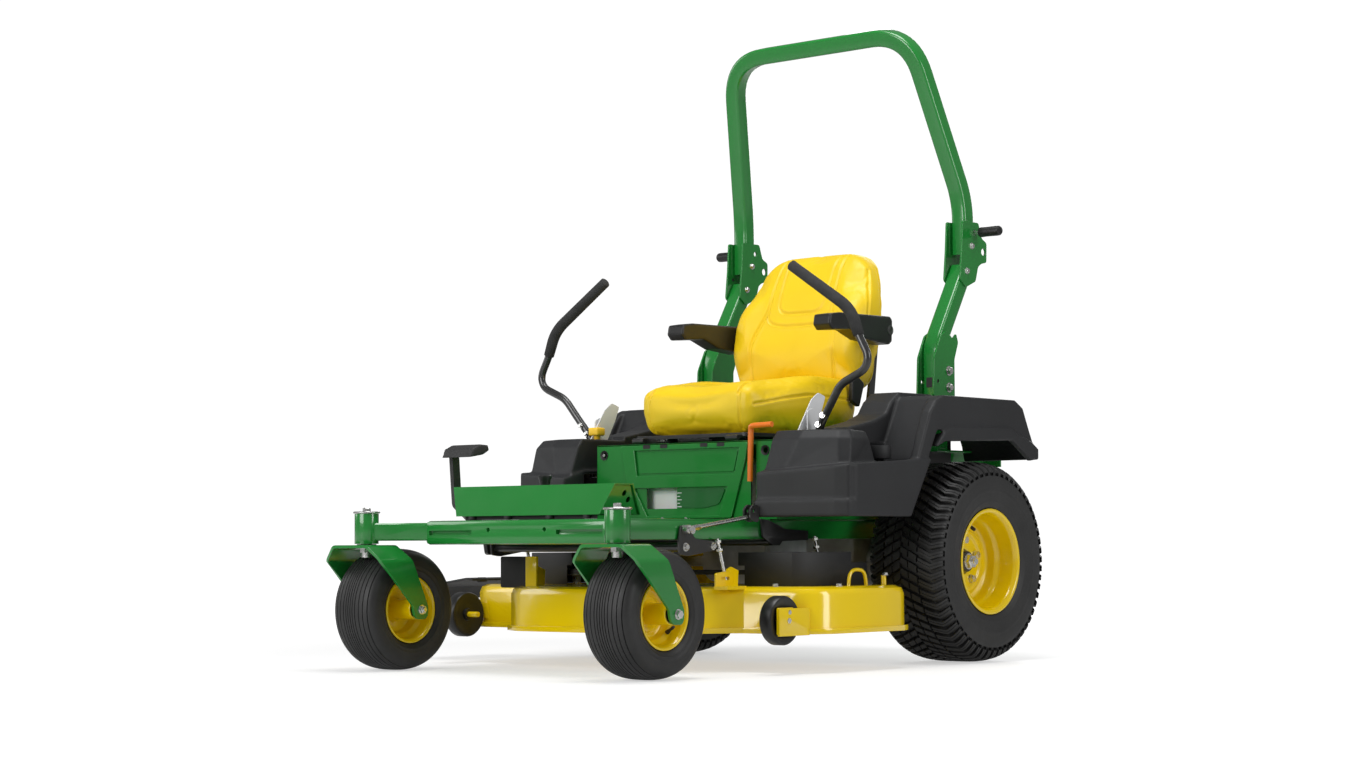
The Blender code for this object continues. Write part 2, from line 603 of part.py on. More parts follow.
def build_caster_forks():
    x = FRONT_WHEEL_X
    hub = FRONT_AXLE_Y
    side = [(-1.410, 0.340), (-1.398, 0.290), (hub - 0.029, 0.172), (hub - 0.024, 0.146),
            (hub - 0.010, 0.136), (hub + 0.012, 0.136), (hub + 0.024, 0.150), (hub + 0.024, 0.172),
            (-1.288, 0.304), (-1.302, 0.340)]
    outer = [(-0.1075, 0.10), (-0.1075, 0.293), (-0.066, 0.333), (0.066, 0.333), (0.1075, 0.293),
             (0.1075, 0.10)]
    inner = [(0.0995, 0.10), (0.0995, 0.2895), (0.0628, 0.325), (-0.0628, 0.325), (-0.0995, 0.2895),
             (-0.0995, 0.10)]
    section = [(x + across, up) for across, up in outer + inner]
    fork = joined([prism(section, "Y", -1.5, -1.2)], keep=[prism(side, "X", 0.30, 0.60)])
    pin = cylinder((x, KINGPIN_Y, 0.3280), 0.0970, 0.0155, "Z", 14)
    cap = cylinder((x, KINGPIN_Y, 0.4165), 0.0050, 0.0360, "Z", 20)
    bolt = cylinder((x, KINGPIN_Y, 0.4200), 0.0120, 0.0105, "Z", 6)
    axle = cylinder((x - 0.117, hub, FRONT_TYRE_R), 0.234, 0.0092, "X", 12)
    pivot = (x, KINGPIN_Y, 0.333)
    pair("caster_fork", joined([fork, pin, cap, bolt, axle]), "green_paint", pivot)


def build_transaxles():
    z = REAR_TYRE_R
    housing = block((0.070, -0.120, 0.205), (0.250, 0.100, 0.390), 0.020, 2)
    drum = cylinder((0.240, 0.0, z), 0.120, 0.062, "X", 24)
    shaft = cylinder((0.350, 0.0, z), 0.190, 0.0160, "X", 20)
    notch = block((0.276, -0.2, 0.3415), (0.40, 0.2, 0.45))
    pair("transaxle", joined([housing, drum, shaft], [notch]), "cast_metal")


# ---- engine -------------------------------------------------------------------------------------
def build_engine():
    base = block((-0.150, 0.060, 0.4018), (0.150, 0.400, 0.470), 0.012, 1)
    case = block((-0.120, 0.090, 0.46), (0.120, 0.330, 0.560), 0.015, 1)
    heads = []
    for side in (-1, 1):
        low, high = sorted((side * 0.10, side * 0.255))
        heads.append(block((low, 0.270, 0.455), (high, 0.400, 0.560), 0.010, 1))
    crank = cylinder((0, 0.200, 0.300), 0.12, 0.0127, "Z", 20)
    finish("engine_block", joined([base, case] + heads + [crank]), "cast_metal")
    bowl = cylinder((0, 0.215, 0.5603), 0.070, 0.165, "Z", 32)
    crown = cylinder((0, 0.215, 0.625), 0.045, 0.150, "Z", 32, 0.120)
    cleaner = block((-0.250, 0.10, 0.5603), (-0.130, 0.300, 0.655), 0.020, 2)
    inside = cylinder((0, 0.215, 0.55), 0.070, 0.160, "Z", 32)
    cleaner_inside = block((-0.246, 0.104, 0.55), (-0.180, 0.296, 0.650), 0.016, 1)
    finish("engine_shroud", joined([bowl, crown, cleaner], [inside, cleaner_inside]), "black_plastic")
    drum = cylinder((-0.150, 0.452, 0.490), 0.300, 0.046, "X", 24)
    outlet_path = bent_path([(0.11, 0.468, 0.47), (0.11, 0.468, 0.40), (0.16, 0.468, 0.365)], 0.02, 3)
    outlet = tube(outlet_path, 0.014, 2)
    inside = cylinder((-0.147, 0.452, 0.490), 0.294, 0.043, "X", 24)
    bore = tube([(0.16, 0.468, 0.465), (0.11, 0.468, 0.465)], 0.010, 1)
    finish("muffler", joined([drum, outlet], [inside, bore]), "cast_metal")
    clutch = turned([(0.0, 0.0130), (0.0, 0.0630), (0.018, 0.0630), (0.026, 0.0500), (0.034, 0.0630),
                     (0.044, 0.0630), (0.044, 0.0130)], (0, 0.200, 0.3060), "Z", 20)
    finish("pto_clutch", clutch, "steel", (0, 0.200, 0.3060))


def build_rear_bumper():
    z = 0.430
    path = [(-0.300, 0.440, z), (-0.300, 0.500, z), (0.300, 0.500, z), (0.300, 0.440, z)]
    bar = tube(bent_path(path, 0.035), REAR_REACH - 0.500, 3)
    posts = []
    for side in (-1, 1):
        low, high = sorted((side * 0.285, side * 0.315))
        posts.append(block((low, 0.4503, RAIL_HIGH + GAP), (high, 0.470, z + 0.015)))
    face = block((-0.060, 0.486, 0.345), (0.060, 0.510, 0.430))
    finish("rear_bumper", joined([bar] + posts + [face]), "green_paint")


# ---- mowing deck --------------------------------------------------------------------------------
def deck_plan():
    """Plan of the deck: a middle lobe ahead of two side lobes, rounded at the outer corners."""
    side = DECK_SIDE
    front = -0.798
    back = -0.355
    left_half = [(0.215, -1.000), (0.290, -0.960), (0.350, front - 0.060), (0.400, front - 0.008),
                 (0.545, front), (0.595, front + 0.025), (side, front + 0.075), (side, back - 0.060),
                 (side - 0.020, back - 0.015), (side - 0.070, back)]
    other = [(-x, y) for x, y in reversed(left_half)]
    return left_half + other


def deck_solid(plan, low, high, bevel):
    """A prism with a rounded upper edge."""
    item = prism(plan, "Z", low, high)
    work = bmesh.new()
    work.from_mesh(item.data)
    bmesh.ops.dissolve_limit(work, angle_limit=0.01, verts=work.verts, edges=work.edges)
    rim = [edge for edge in work.edges if all(vert.co.z > high - 0.0001 for vert in edge.verts)]
    bmesh.ops.bevel(work, geom=rim, offset=bevel, segments=2, profile=0.5, affect="EDGES")
    work.to_mesh(item.data)
    work.free()
    return item


def hanger(side, y):
    low, high = sorted((side * 0.345, side * 0.351))
    return prism([(y - 0.036, 0.205), (y + 0.036, 0.205), (y + 0.040, 0.262), (y + 0.010, 0.272),
                  (y - 0.036, 0.250)], "X", low, high)


def roller_bracket(side):
    x = side * 0.5900
    low, high = sorted((x, x + side * 0.005))
    plate = block((low, -0.905, 0.098), (high, -0.780, 0.168), 0.0)
    low, high = sorted((side * 0.536, side * 0.594))
    back = block((low, -0.800, 0.125), (high, -0.7905, 0.168), 0.0)
    axle = cylinder((side * 0.5100, -0.866, 0.137), side * 0.087, 0.0078, "X", 14)
    return [plate, back, axle]


def build_deck():
    skin = 0.004
    outer = deck_solid(deck_plan(), DECK_LOW, DECK_HIGH, 0.022)
    inner = deck_solid(inset_outline(deck_plan(), skin), DECK_LOW - 0.05, DECK_HIGH - skin, 0.019)
    lip = prism(inset_outline(deck_plan(), -0.010), "Z", DECK_LOW, DECK_LOW + 0.014)
    holes = []
    for x, y in ((SPINDLE_SIDE[0], SPINDLE_SIDE[1]), (-SPINDLE_SIDE[0], SPINDLE_SIDE[1]), SPINDLE_MIDDLE):
        holes.append(cylinder((x, y, 0.19), 0.06, 0.030, "Z", 20))
    outlet = block((-0.66, -0.740, 0.112), (-0.560, -0.440, 0.196))
    pieces = [outer, lip]
    cuts = [inner, outlet] + holes
    shell = joined(pieces, cuts)
    extras = []
    for side in (-1, 1):
        extras += roller_bracket(side)
        extras.append(hanger(side, -0.806))
        extras.append(hanger(side, -0.395))
        low, high = sorted((side * 0.196, side * 0.236))
        extras.append(block((low, -0.960, 0.21), (high, -0.952, 0.300)))
    handle = tube(bent_path([(0.55, -0.552, 0.212), (0.55, -0.546, 0.262), (0.55, -0.478, 0.262),
                             (0.55, -0.472, 0.212)], 0.028), 0.005, 2)
    stud = cylinder((0.555, -0.400, 0.212), 0.034, 0.007, "Z", 12)
    finish("deck_shell", joined([shell] + extras + [handle, stud]), "yellow_paint")


def build_belt_covers():
    skin = 0.003
    plan = [(0.300, -0.705), (0.470, -0.690), (0.500, -0.640), (0.500, -0.470), (0.300, -0.470)]
    low_plan = [(0.300, -0.480), (0.500, -0.480), (0.500, -0.420), (0.470, -0.360), (0.300, -0.360)]
    floor = DECK_HIGH + GAP
    outer = joined([prism(plan, "Z", floor, 0.309), prism(low_plan, "Z", floor, 0.280)])
    inner = joined([prism(inset_outline(plan, skin), "Z", 0.20, 0.309 - skin),
                    prism(inset_outline(low_plan, skin), "Z", 0.20, 0.280 - skin)])
    way_in = block((0.28, -0.71, 0.21), (0.32, -0.42, 0.274))
    hanger_gap = block((0.339, -0.450, 0.21), (0.357, -0.33, 0.29))
    pair("belt_cover", joined([outer], [inner, way_in, hanger_gap]), "black_plastic")


def blade_solid(x, y, turn):
    bar = block((-BLADE_R, -0.029, BLADE_Z - 0.0025), (BLADE_R, 0.029, BLADE_Z + 0.0025))
    tips = [[(side * 0.212, side * 0.030), (side * 0.212, side * 0.010), (side * 0.205, side * 0.030)]
            for side in (-1, 1)]
    corners = [prism(tip, "Z", 0.10, 0.14) for tip in tips]
    shaft = cylinder((0, 0, BLADE_Z - 0.010), 0.150, 0.0125, "Z", 12)
    boss = cylinder((0, 0, BLADE_Z), 0.070, 0.024, "Z", 14)
    pulley = turned([(0.0, 0.0), (0.0, PULLEY_R), (0.005, PULLEY_R), (0.010, PULLEY_R - 0.010),
                     (0.015, PULLEY_R), (0.020, PULLEY_R), (0.020, 0.0)], (0, 0, 0.245), "Z", 20)
    solid = joined([joined([bar], corners), boss, shaft, pulley])
    solid.data.transform(Matrix.Translation((x, y, 0)) @ Matrix.Rotation(turn, 4, "Z"))
    return solid


def build_blades():
    x, y = SPINDLE_SIDE
    spindles = (("left", x, y, 0.6), ("center", *SPINDLE_MIDDLE, 1.2), ("right", -x, y, 2.4))
    for name, px, py, turn in spindles:
        finish("blade_" + name, blade_solid(px, py, turn), "steel", (px, py, BLADE_Z))


def wrapped(centres, radius, steps=36):
    """Outline of a band pulled tight round equal circles."""
    points = []
    for index in range(steps):
        angle = 2 * math.pi * index / steps
        way = Vector((math.cos(angle), math.sin(angle)))
        furthest = max(centres, key=lambda centre: Vector(centre).dot(way))
        points.append(tuple(Vector(furthest) + way * radius))
    return points


def build_belt():
    x, y = SPINDLE_SIDE
    centres = ((x, y), (-x, y), SPINDLE_MIDDLE)
    inner = wrapped(centres, PULLEY_R + 0.0008)
    outer = wrapped(centres, PULLEY_R + 0.0088)
    belt = prism(outer, "Z", 0.2500, 0.2600, [inner])
    finish("mower_belt", belt, "rubber")


def build_chute():
    hinge_x = DECK_SIDE + 0.014
    outline = [(-hinge_x + 0.006, 0.229), (-hinge_x + 0.006, 0.235), (-hinge_x - 0.02, 0.238),
               (-0.820, 0.215), (-CHUTE_REACH, 0.180), (-CHUTE_REACH, 0.174), (-0.818, 0.209),
               (-hinge_x - 0.02, 0.232)]
    panel = prism(outline, "Y", -0.770, -0.420)
    knuckles = [cylinder((-hinge_x, y, 0.2315), 0.03, 0.0075, "Y", 12) for y in (-0.74, -0.48)]
    finish("discharge_chute", joined([panel] + knuckles), "rubber", (-hinge_x, -0.595, 0.2315))


def build_rollers():
    profile = [(-0.020, 0.0082), (-0.020, 0.050), (-0.014, 0.060), (0.0, 0.063), (0.014, 0.060),
               (0.020, 0.052), (0.020, 0.044), (0.004, 0.040), (0.004, 0.016), (0.020, 0.014),
               (0.020, 0.0082)]
    centre = (0.565, -0.866, 0.137)
    pair("deck_roller", turned(profile, centre, "X", 16), "black_plastic", centre)


# ---- deck lift ----------------------------------------------------------------------------------
def bell_crank(side, y, z):
    low, high = sorted((side * 0.3335, side * 0.3385))
    outline = [(y - 0.022, z - 0.020), (y + 0.010, z - 0.024), (y + 0.130, z - 0.008),
               (y + 0.130, z + 0.014), (y + 0.040, z + 0.022), (y + 0.012, z + 0.052),
               (y - 0.014, z + 0.052), (y - 0.024, z + 0.016)]
    return prism(outline, "X", low, high)


def build_lift():
    y, z = LIFT_SHAFT
    bar = cylinder((-0.352, y, z), 0.692, 0.0120, "X", 16)
    cranks = [bell_crank(side, y, z) for side in (-1, 1)]
    arm_side = [(y - 0.020, z - 0.020), (y + 0.020, z - 0.018), (y + 0.016, z + 0.040), (-1.098, 0.452),
                (-1.106, 0.572), (-1.128, 0.572), (-1.122, 0.440), (y - 0.030, z + 0.030)]
    arm = prism(arm_side, "X", -0.3600, -0.3515)
    pad = block((-0.362, -1.150, 0.568), (-0.262, -1.094, 0.596), 0.010, 2)
    finish("lift_shaft", joined([bar] + cranks + [arm, pad]), "black_paint", (0, y, z))
    ry, rz = REAR_LIFT_SHAFT
    rear = [cylinder((-0.337, ry, rz), 0.674, 0.0085, "X", 14)]
    rear_arm = [(ry - 0.066, 0.398), (ry - 0.058, 0.350), (ry - 0.016, 0.327), (ry + 0.014, 0.327),
                (ry + 0.026, 0.338), (ry + 0.140, 0.341), (ry + 0.140, 0.366), (ry + 0.034, 0.371),
                (ry + 0.012, 0.380), (ry - 0.032, 0.394)]
    for side in (-1, 1):
        low, high = sorted((side * 0.3335, side * 0.3385))
        rear.append(prism(rear_arm, "X", low, high))
    finish("rear_lift_shaft", joined(rear), "black_paint", (0, ry, rz))
    rod = tube([(0.3480, -0.972, 0.370), (0.3480, -0.728, 0.4012)], 0.0060, 2)
    eye = cylinder((0.3390, -0.972, 0.370), 0.018, 0.0110, "X", 14)
    finish("lift_rod", joined([rod, eye]), "steel", (0.3480, -0.972, 0.370))


clear_scene()
PARTS = make_collection("riding_lawn_mower")
PAINT = make_materials()
CARRIER = bpy.data.objects.new("rear_axle_centre", None)
PARTS.objects.link(CARRIER)
CARRIER.location = MODEL_SHIFT

build_rails()
build_front_beam()
build_rear_frame()
build_floor_pan()
build_foot_guard()
build_seat_tower()
build_tank()
build_brake_handle()
build_fenders()
build_small_controls()
build_rops_posts()
build_rops_hoop()
build_rops_pins()
build_seat()
build_armrests()
build_levers()
build_rear_wheels()
build_front_wheels()
build_caster_forks()
build_transaxles()
build_engine()
build_rear_bumper()
build_deck()
build_belt_covers()
build_blades()
build_belt()
build_chute()
build_rollers()
build_lift()
bpy.context.view_layer.update()
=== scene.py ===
"""Looks of the riding lawn mower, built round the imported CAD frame.

Places are given in the axle frame, as in the part's own source: x is zero on the middle plane and
positive on the machine's left, y is zero on the rear axle and negative towards the front, and z is
zero on the ground. The function place() moves them to the row frame, which it finds from the drive tyres.
"""
import json
import math

import bmesh
import bpy
from mathutils import Matrix, Vector, noise
from mathutils.bvhtree import BVHTree
from mathutils.kdtree import KDTree


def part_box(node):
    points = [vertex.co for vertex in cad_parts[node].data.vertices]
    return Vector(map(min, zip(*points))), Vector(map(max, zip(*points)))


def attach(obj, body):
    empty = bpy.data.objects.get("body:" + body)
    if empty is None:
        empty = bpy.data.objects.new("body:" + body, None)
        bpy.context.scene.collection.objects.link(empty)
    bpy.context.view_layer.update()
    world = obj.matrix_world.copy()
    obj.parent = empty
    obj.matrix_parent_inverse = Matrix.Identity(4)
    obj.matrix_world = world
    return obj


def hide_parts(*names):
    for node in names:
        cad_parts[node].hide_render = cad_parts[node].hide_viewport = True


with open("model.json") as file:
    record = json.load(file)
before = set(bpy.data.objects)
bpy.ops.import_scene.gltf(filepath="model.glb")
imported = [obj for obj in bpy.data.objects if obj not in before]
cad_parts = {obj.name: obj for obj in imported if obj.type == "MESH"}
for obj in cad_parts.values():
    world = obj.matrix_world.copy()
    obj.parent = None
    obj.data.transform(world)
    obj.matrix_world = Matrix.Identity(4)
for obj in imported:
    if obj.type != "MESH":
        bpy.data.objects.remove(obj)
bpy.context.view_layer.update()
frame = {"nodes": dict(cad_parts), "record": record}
NODES = frame["nodes"]

LEFT_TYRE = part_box("drive_tyre_left")
RIGHT_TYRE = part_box("drive_tyre_right")
ORIGIN = (LEFT_TYRE[0] + LEFT_TYRE[1] + RIGHT_TYRE[0] + RIGHT_TYRE[1]) / 4
ORIGIN.z = 0.0


def place(point):
    """A point of the axle frame in the row frame."""
    return Vector(point) + ORIGIN


def local_box(node):
    """A CAD node's lowest and highest corner in the axle frame."""
    low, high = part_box(node)
    return low - ORIGIN, high - ORIGIN


# ---- camera, light and floor --------------------------------------------------------------------
CAMERA_PLACE = (4.5965, -6.0092, 0.3352)
CAMERA_AZIMUTH = math.radians(40.2162)
CAMERA_ELEVATION = math.radians(-3.5449)
CAMERA_ROLL = math.radians(-0.2724)
CAMERA_LENS = 67.54
LIGHT_TARGET = (0.0, -0.4, 0.7)
FLOOR_SIZE = 60.0
FLOOR_GREY = 0.52
GLOW_BY_REACH = (("From Min", 1.6), ("From Max", 5.0), ("To Min", 0.52), ("To Max", 1.0))


def build_camera():
    azimuth, elevation = CAMERA_AZIMUTH, CAMERA_ELEVATION
    back = Vector((math.sin(azimuth) * math.cos(elevation), -math.cos(azimuth) * math.cos(elevation),
                   math.sin(elevation)))
    right = Vector((0, 0, 1)).cross(back).normalized()
    up = back.cross(right)
    roll = Matrix.Rotation(CAMERA_ROLL, 3, back)
    axes = Matrix((roll @ right, roll @ up, back)).transposed().to_4x4()
    data = bpy.data.cameras.new("camera")
    data.lens = CAMERA_LENS
    data.sensor_width = 36.0
    data.clip_end = 60.0
    item = bpy.data.objects.new("camera", data)
    item.matrix_world = Matrix.Translation(place(CAMERA_PLACE)) @ axes
    bpy.context.collection.objects.link(item)
    bpy.context.scene.camera = item


def add_light(name, spot, size, power):
    data = bpy.data.lights.new(name, "AREA")
    data.shape = "RECTANGLE"
    data.size, data.size_y = size
    data.energy = power
    item = bpy.data.objects.new(name, data)
    item.location = place(spot)
    item.rotation_euler = (place(LIGHT_TARGET) - item.location).to_track_quat("-Z", "Y").to_euler()
    bpy.context.collection.objects.link(item)


def build_lights():
    add_light("light_right", (4.8, 0.4, 2.4), (1.6, 2.4), 70)
    add_light("light_front", (-0.6, -5.4, 2.2), (2.6, 2.4), 120)
    add_light("light_left", (-4.8, -2.6, 2.4), (2.0, 2.4), 40)
    add_light("light_top", (0.6, -1.0, 4.4), (2.2, 2.2), 110)
    add_light("light_back", (-1.5, 4.6, 2.8), (3.0, 2.4), 70)


def camera_strength(tree, lighting, seen):
    """A strength with one value where it lights the machine and another where the camera sees it."""
    rays = tree.nodes.new("ShaderNodeLightPath")
    strength = tree.nodes.new("ShaderNodeMapRange")
    strength.inputs["To Min"].default_value = lighting
    strength.inputs["To Max"].default_value = seen
    tree.links.new(rays.outputs["Is Camera Ray"], strength.inputs["Value"])
    return strength.outputs["Result"]


def build_floor():
    """A pale floor that glows more with distance, so that it runs into the white background."""
    bpy.ops.mesh.primitive_plane_add(size=FLOOR_SIZE, location=place((0, 0, -0.0005)))
    floor = bpy.context.object
    floor.name = "studio_floor"
    paint = bpy.data.materials.new("studio_floor")
    paint.use_nodes = True
    tree = paint.node_tree
    shader = tree.nodes["Principled BSDF"]
    shader.inputs["Base Color"].default_value = (*grey(FLOOR_GREY), 1.0)
    shader.inputs["Roughness"].default_value = 0.6
    shader.inputs["Emission Color"].default_value = (1.0, 1.0, 1.0, 1.0)
    coords = tree.nodes.new("ShaderNodeTexCoord")
    reach = tree.nodes.new("ShaderNodeVectorMath")
    reach.operation = "LENGTH"
    glow = tree.nodes.new("ShaderNodeMapRange")
    for socket, value in GLOW_BY_REACH:
        glow.inputs[socket].default_value = value
    strength = tree.nodes.new("ShaderNodeMath")
    strength.operation = "MULTIPLY"
    tree.links.new(coords.outputs["Object"], reach.inputs[0])
    tree.links.new(reach.outputs["Value"], glow.inputs["Value"])
    tree.links.new(glow.outputs["Result"], strength.inputs[0])
    tree.links.new(camera_strength(tree, 0.3, 1.0), strength.inputs[1])
    tree.links.new(strength.outputs["Value"], shader.inputs["Emission Strength"])
    floor.data.materials.append(paint)


def build_world():
    """A white background that adds only a little light of its own."""
    world = bpy.data.worlds.new("studio")
    world.use_nodes = True
    background = world.node_tree.nodes["Background"]
    background.inputs["Color"].default_value = (1.0, 1.0, 1.0, 1.0)
    world.node_tree.links.new(camera_strength(world.node_tree, 0.22, 1.05), background.inputs["Strength"])
    bpy.context.scene.world = world
    bpy.context.scene.view_settings.view_transform = "Standard"


# ---- materials ----------------------------------------------------------------------------------
class Nodes:
    """Small helper round a material's node tree."""

    def __init__(self, name):
        self.material = bpy.data.materials.new(name)
        self.material.use_nodes = True
        self.tree = self.material.node_tree
        self.shader = self.tree.nodes["Principled BSDF"]
        self.coords = self.add("ShaderNodeTexCoord").outputs["Object"]

    def add(self, kind, **settings):
        node = self.tree.nodes.new(kind)
        for key, value in settings.items():
            setattr(node, key, value)
        return node

    def link(self, source, target):
        self.tree.links.new(source, target)

    def noise(self, scale, detail=3.0, roughness=0.5):
        texture = self.add("ShaderNodeTexNoise")
        texture.inputs["Scale"].default_value = scale
        texture.inputs["Detail"].default_value = detail
        texture.inputs["Roughness"].default_value = roughness
        self.link(self.coords, texture.inputs["Vector"])
        return texture.outputs["Fac"]

    def cells(self, scale):
        texture = self.add("ShaderNodeTexVoronoi")
        texture.inputs["Scale"].default_value = scale
        self.link(self.coords, texture.inputs["Vector"])
        return texture.outputs["Distance"]

    def mottle(self, source, colour, *shades):
        """Base colour by a noise; each of the two shades is a place on the ramp and a brightness."""
        ramp = self.add("ShaderNodeValToRGB")
        for stop, (position, factor) in zip(ramp.color_ramp.elements, shades):
            stop.position = position
            stop.color = (*(min(channel * factor, 1.0) for channel in colour), 1.0)
        self.link(source, ramp.inputs["Fac"])
        self.link(ramp.outputs["Color"], self.shader.inputs["Base Color"])

    def roughen(self, source, low, high):
        """Roughness between two values, by a noise."""
        span = self.add("ShaderNodeMapRange")
        span.inputs["To Min"].default_value = low
        span.inputs["To Max"].default_value = high
        self.link(source, span.inputs["Value"])
        self.link(span.outputs["Result"], self.shader.inputs["Roughness"])

    def relief(self, *layers):
        """Bump layers from the finest to the broadest, each a height, a distance and a strength."""
        under = None
        for height, distance, strength in layers:
            node = self.add("ShaderNodeBump")
            node.inputs["Distance"].default_value = distance
            node.inputs["Strength"].default_value = strength
            self.link(height, node.inputs["Height"])
            if under is not None:
                self.link(under, node.inputs["Normal"])
            under = node.outputs["Normal"]
        self.link(under, self.shader.inputs["Normal"])

    def set(self, **values):
        for key, value in values.items():
            self.shader.inputs[key.replace("_", " ")].default_value = value


def grey(value):
    return (value, value, value)


def gloss_paint(name, colour, roughness=0.2):
    """Powder coat: slight mottling, orange peel and a clear gloss."""
    made = Nodes(name)
    made.mottle(made.noise(3.0, 4.0, 0.6), colour, (0.3, 0.96), (0.7, 1.03))
    made.roughen(made.noise(14.0, 4.0), roughness - 0.05, roughness + 0.09)
    made.relief((made.noise(420.0, 2.0), 0.0001, 0.25), (made.noise(45.0, 2.0), 0.0004, 0.06))
    made.set(Coat_Weight=0.6, Coat_Roughness=0.06)
    return made.material


def moulded_plastic(name, colour, roughness=0.55, grain=700.0, depth=0.0003):
    """Textured moulding: a fine pebble grain and broad uneven gloss."""
    made = Nodes(name)
    made.mottle(made.noise(5.0), colour, (0.3, 0.85), (0.7, 1.2))
    made.roughen(made.noise(9.0), roughness - 0.06, roughness + 0.08)
    made.relief((made.cells(grain), depth, 0.45))
    made.set(Specular_IOR_Level=0.45)
    return made.material


def rubber(name, colour, roughness=0.62):
    """Tyre rubber with a trace of dust and fine uneven skin."""
    made = Nodes(name)
    made.mottle(made.noise(11.0, 6.0, 0.65), colour, (0.35, 1.0), (0.8, 1.7))
    made.roughen(made.noise(26.0, 4.0), roughness - 0.12, roughness + 0.12)
    made.relief((made.noise(900.0, 2.0), 0.0002, 0.5), (made.noise(60.0), 0.0006, 0.15))
    made.set(Specular_IOR_Level=0.5)
    return made.material


def vinyl(name, colour):
    """Seat vinyl: leather grain, soft creasing and a low sheen."""
    made = Nodes(name)
    made.mottle(made.noise(6.0, 4.0, 0.6), colour, (0.25, 0.93), (0.75, 1.03))
    made.roughen(made.noise(18.0), 0.36, 0.5)
    made.relief((made.cells(620.0), 0.00035, 0.4), (made.noise(1500.0, 2.0), 0.0001, 0.5),
                (made.noise(34.0, 5.0, 0.65), 0.0011, 0.28))
    made.set(Specular_IOR_Level=0.5)
    return made.material


def metal(name, colour, roughness=0.32):
    """Plated or bare metal with fine uneven gloss and small stains."""
    made = Nodes(name)
    made.mottle(made.noise(30.0, 5.0, 0.7), colour, (0.3, 0.92), (0.7, 1.06))
    skin = made.noise(120.0)
    made.roughen(skin, roughness - 0.1, roughness + 0.12)
    made.relief((skin, 0.00002, 0.2))
    made.set(Metallic=1.0)
    return made.material


def cast(name, colour, roughness=0.55):
    """Sand-cast metal: coarse grain under a dull grey skin."""
    made = Nodes(name)
    made.mottle(made.noise(20.0, 5.0), colour, (0.3, 0.8), (0.7, 1.15))
    made.roughen(made.noise(80.0), roughness - 0.1, roughness + 0.1)
    made.relief((made.noise(320.0, 4.0), 0.0006, 0.6))
    made.set(Metallic=0.7)
    return made.material


def foam(name, colour):
    """Closed-cell grip foam, also used for thread."""
    made = Nodes(name)
    made.mottle(made.noise(40.0), colour, (0.3, 0.8), (0.7, 1.3))
    made.roughen(made.noise(90.0, 2.0), 0.72, 0.88)
    made.relief((made.cells(900.0), 0.0005, 0.7))
    return made.material


def milky_plastic(name, colour):
    """Blow-moulded tank plastic."""
    made = Nodes(name)
    made.mottle(made.noise(8.0), colour, (0.3, 0.92), (0.7, 1.0))
    made.roughen(made.noise(30.0), 0.38, 0.5)
    made.relief((made.noise(60.0), 0.0008, 0.3))
    made.set(Subsurface_Weight=0.15, Subsurface_Scale=0.01)
    return made.material


GREEN = (0.01, 0.205, 0.028)
YELLOW = (0.88, 0.62, 0.0)
BLACK_PLASTIC = (0.013, 0.0135, 0.015)
LOOK = {
    "green_paint": gloss_paint("green_paint", GREEN),
    "yellow_paint": gloss_paint("yellow_paint", YELLOW, 0.18),
    "black_paint": gloss_paint("black_paint", grey(0.014), 0.34),
    "orange_paint": gloss_paint("orange_paint", (0.9, 0.2, 0.012), 0.3),
    "yellow_vinyl": vinyl("yellow_vinyl", (0.88, 0.6, 0.004)),
    "black_plastic": moulded_plastic("black_plastic", BLACK_PLASTIC),
    "smooth_plastic": moulded_plastic("smooth_plastic", grey(0.012), 0.36, 300.0, 0.0001),
    "yellow_knob": moulded_plastic("yellow_knob", (0.93, 0.52, 0.03), 0.42),
    "rubber": rubber("rubber", grey(0.014)),
    "tyre": rubber("tyre", grey(0.013), 0.55),
    "steel": metal("steel", (0.68, 0.68, 0.67), 0.28),
    "zinc": metal("zinc", (0.74, 0.74, 0.72), 0.24),
    "muffler_metal": metal("muffler_metal", (0.3, 0.29, 0.28), 0.5),
    "cast_metal": cast("cast_metal", (0.36, 0.36, 0.37)),
    "tank_plastic": milky_plastic("tank_plastic", (0.86, 0.86, 0.85)),
    "foam": foam("foam", grey(0.02)),
    "white_plate": gloss_paint("white_plate", (0.8, 0.81, 0.82), 0.35),
    "stitch": foam("stitch", (0.8, 0.6, 0.02)),
    "matt_black": moulded_plastic("matt_black", grey(0.008), 0.5, 500.0, 0.0002),
    "gauge": gloss_paint("gauge", (0.006, 0.12, 0.02), 0.3),
    "red_button": moulded_plastic("red_button", (0.62, 0.02, 0.015), 0.35, 400.0, 0.0001),
}


def smoothing_group():
    """Geometry nodes that shade a faceted CAD mesh smooth, except across its real edges."""
    tree = bpy.data.node_groups.new("smooth_shading", "GeometryNodeTree")
    tree.interface.new_socket("Geometry", in_out="INPUT", socket_type="NodeSocketGeometry")
    tree.interface.new_socket("Geometry", in_out="OUTPUT", socket_type="NodeSocketGeometry")
    source = tree.nodes.new("NodeGroupInput")
    result = tree.nodes.new("NodeGroupOutput")
    faces = tree.nodes.new("GeometryNodeSetShadeSmooth")
    faces.domain = "FACE"
    edges = tree.nodes.new("GeometryNodeSetShadeSmooth")
    edges.domain = "EDGE"
    angle = tree.nodes.new("GeometryNodeInputMeshEdgeAngle")
    small = tree.nodes.new("FunctionNodeCompare")
    small.data_type = "FLOAT"
    small.operation = "LESS_THAN"
    small.inputs["B"].default_value = math.radians(34)
    tree.links.new(source.outputs[0], faces.inputs["Geometry"])
    tree.links.new(faces.outputs[0], edges.inputs["Geometry"])
    tree.links.new(angle.outputs["Unsigned Angle"], small.inputs["A"])
    tree.links.new(small.outputs["Result"], edges.inputs["Shade Smooth"])
    tree.links.new(edges.outputs[0], result.inputs[0])
    return tree


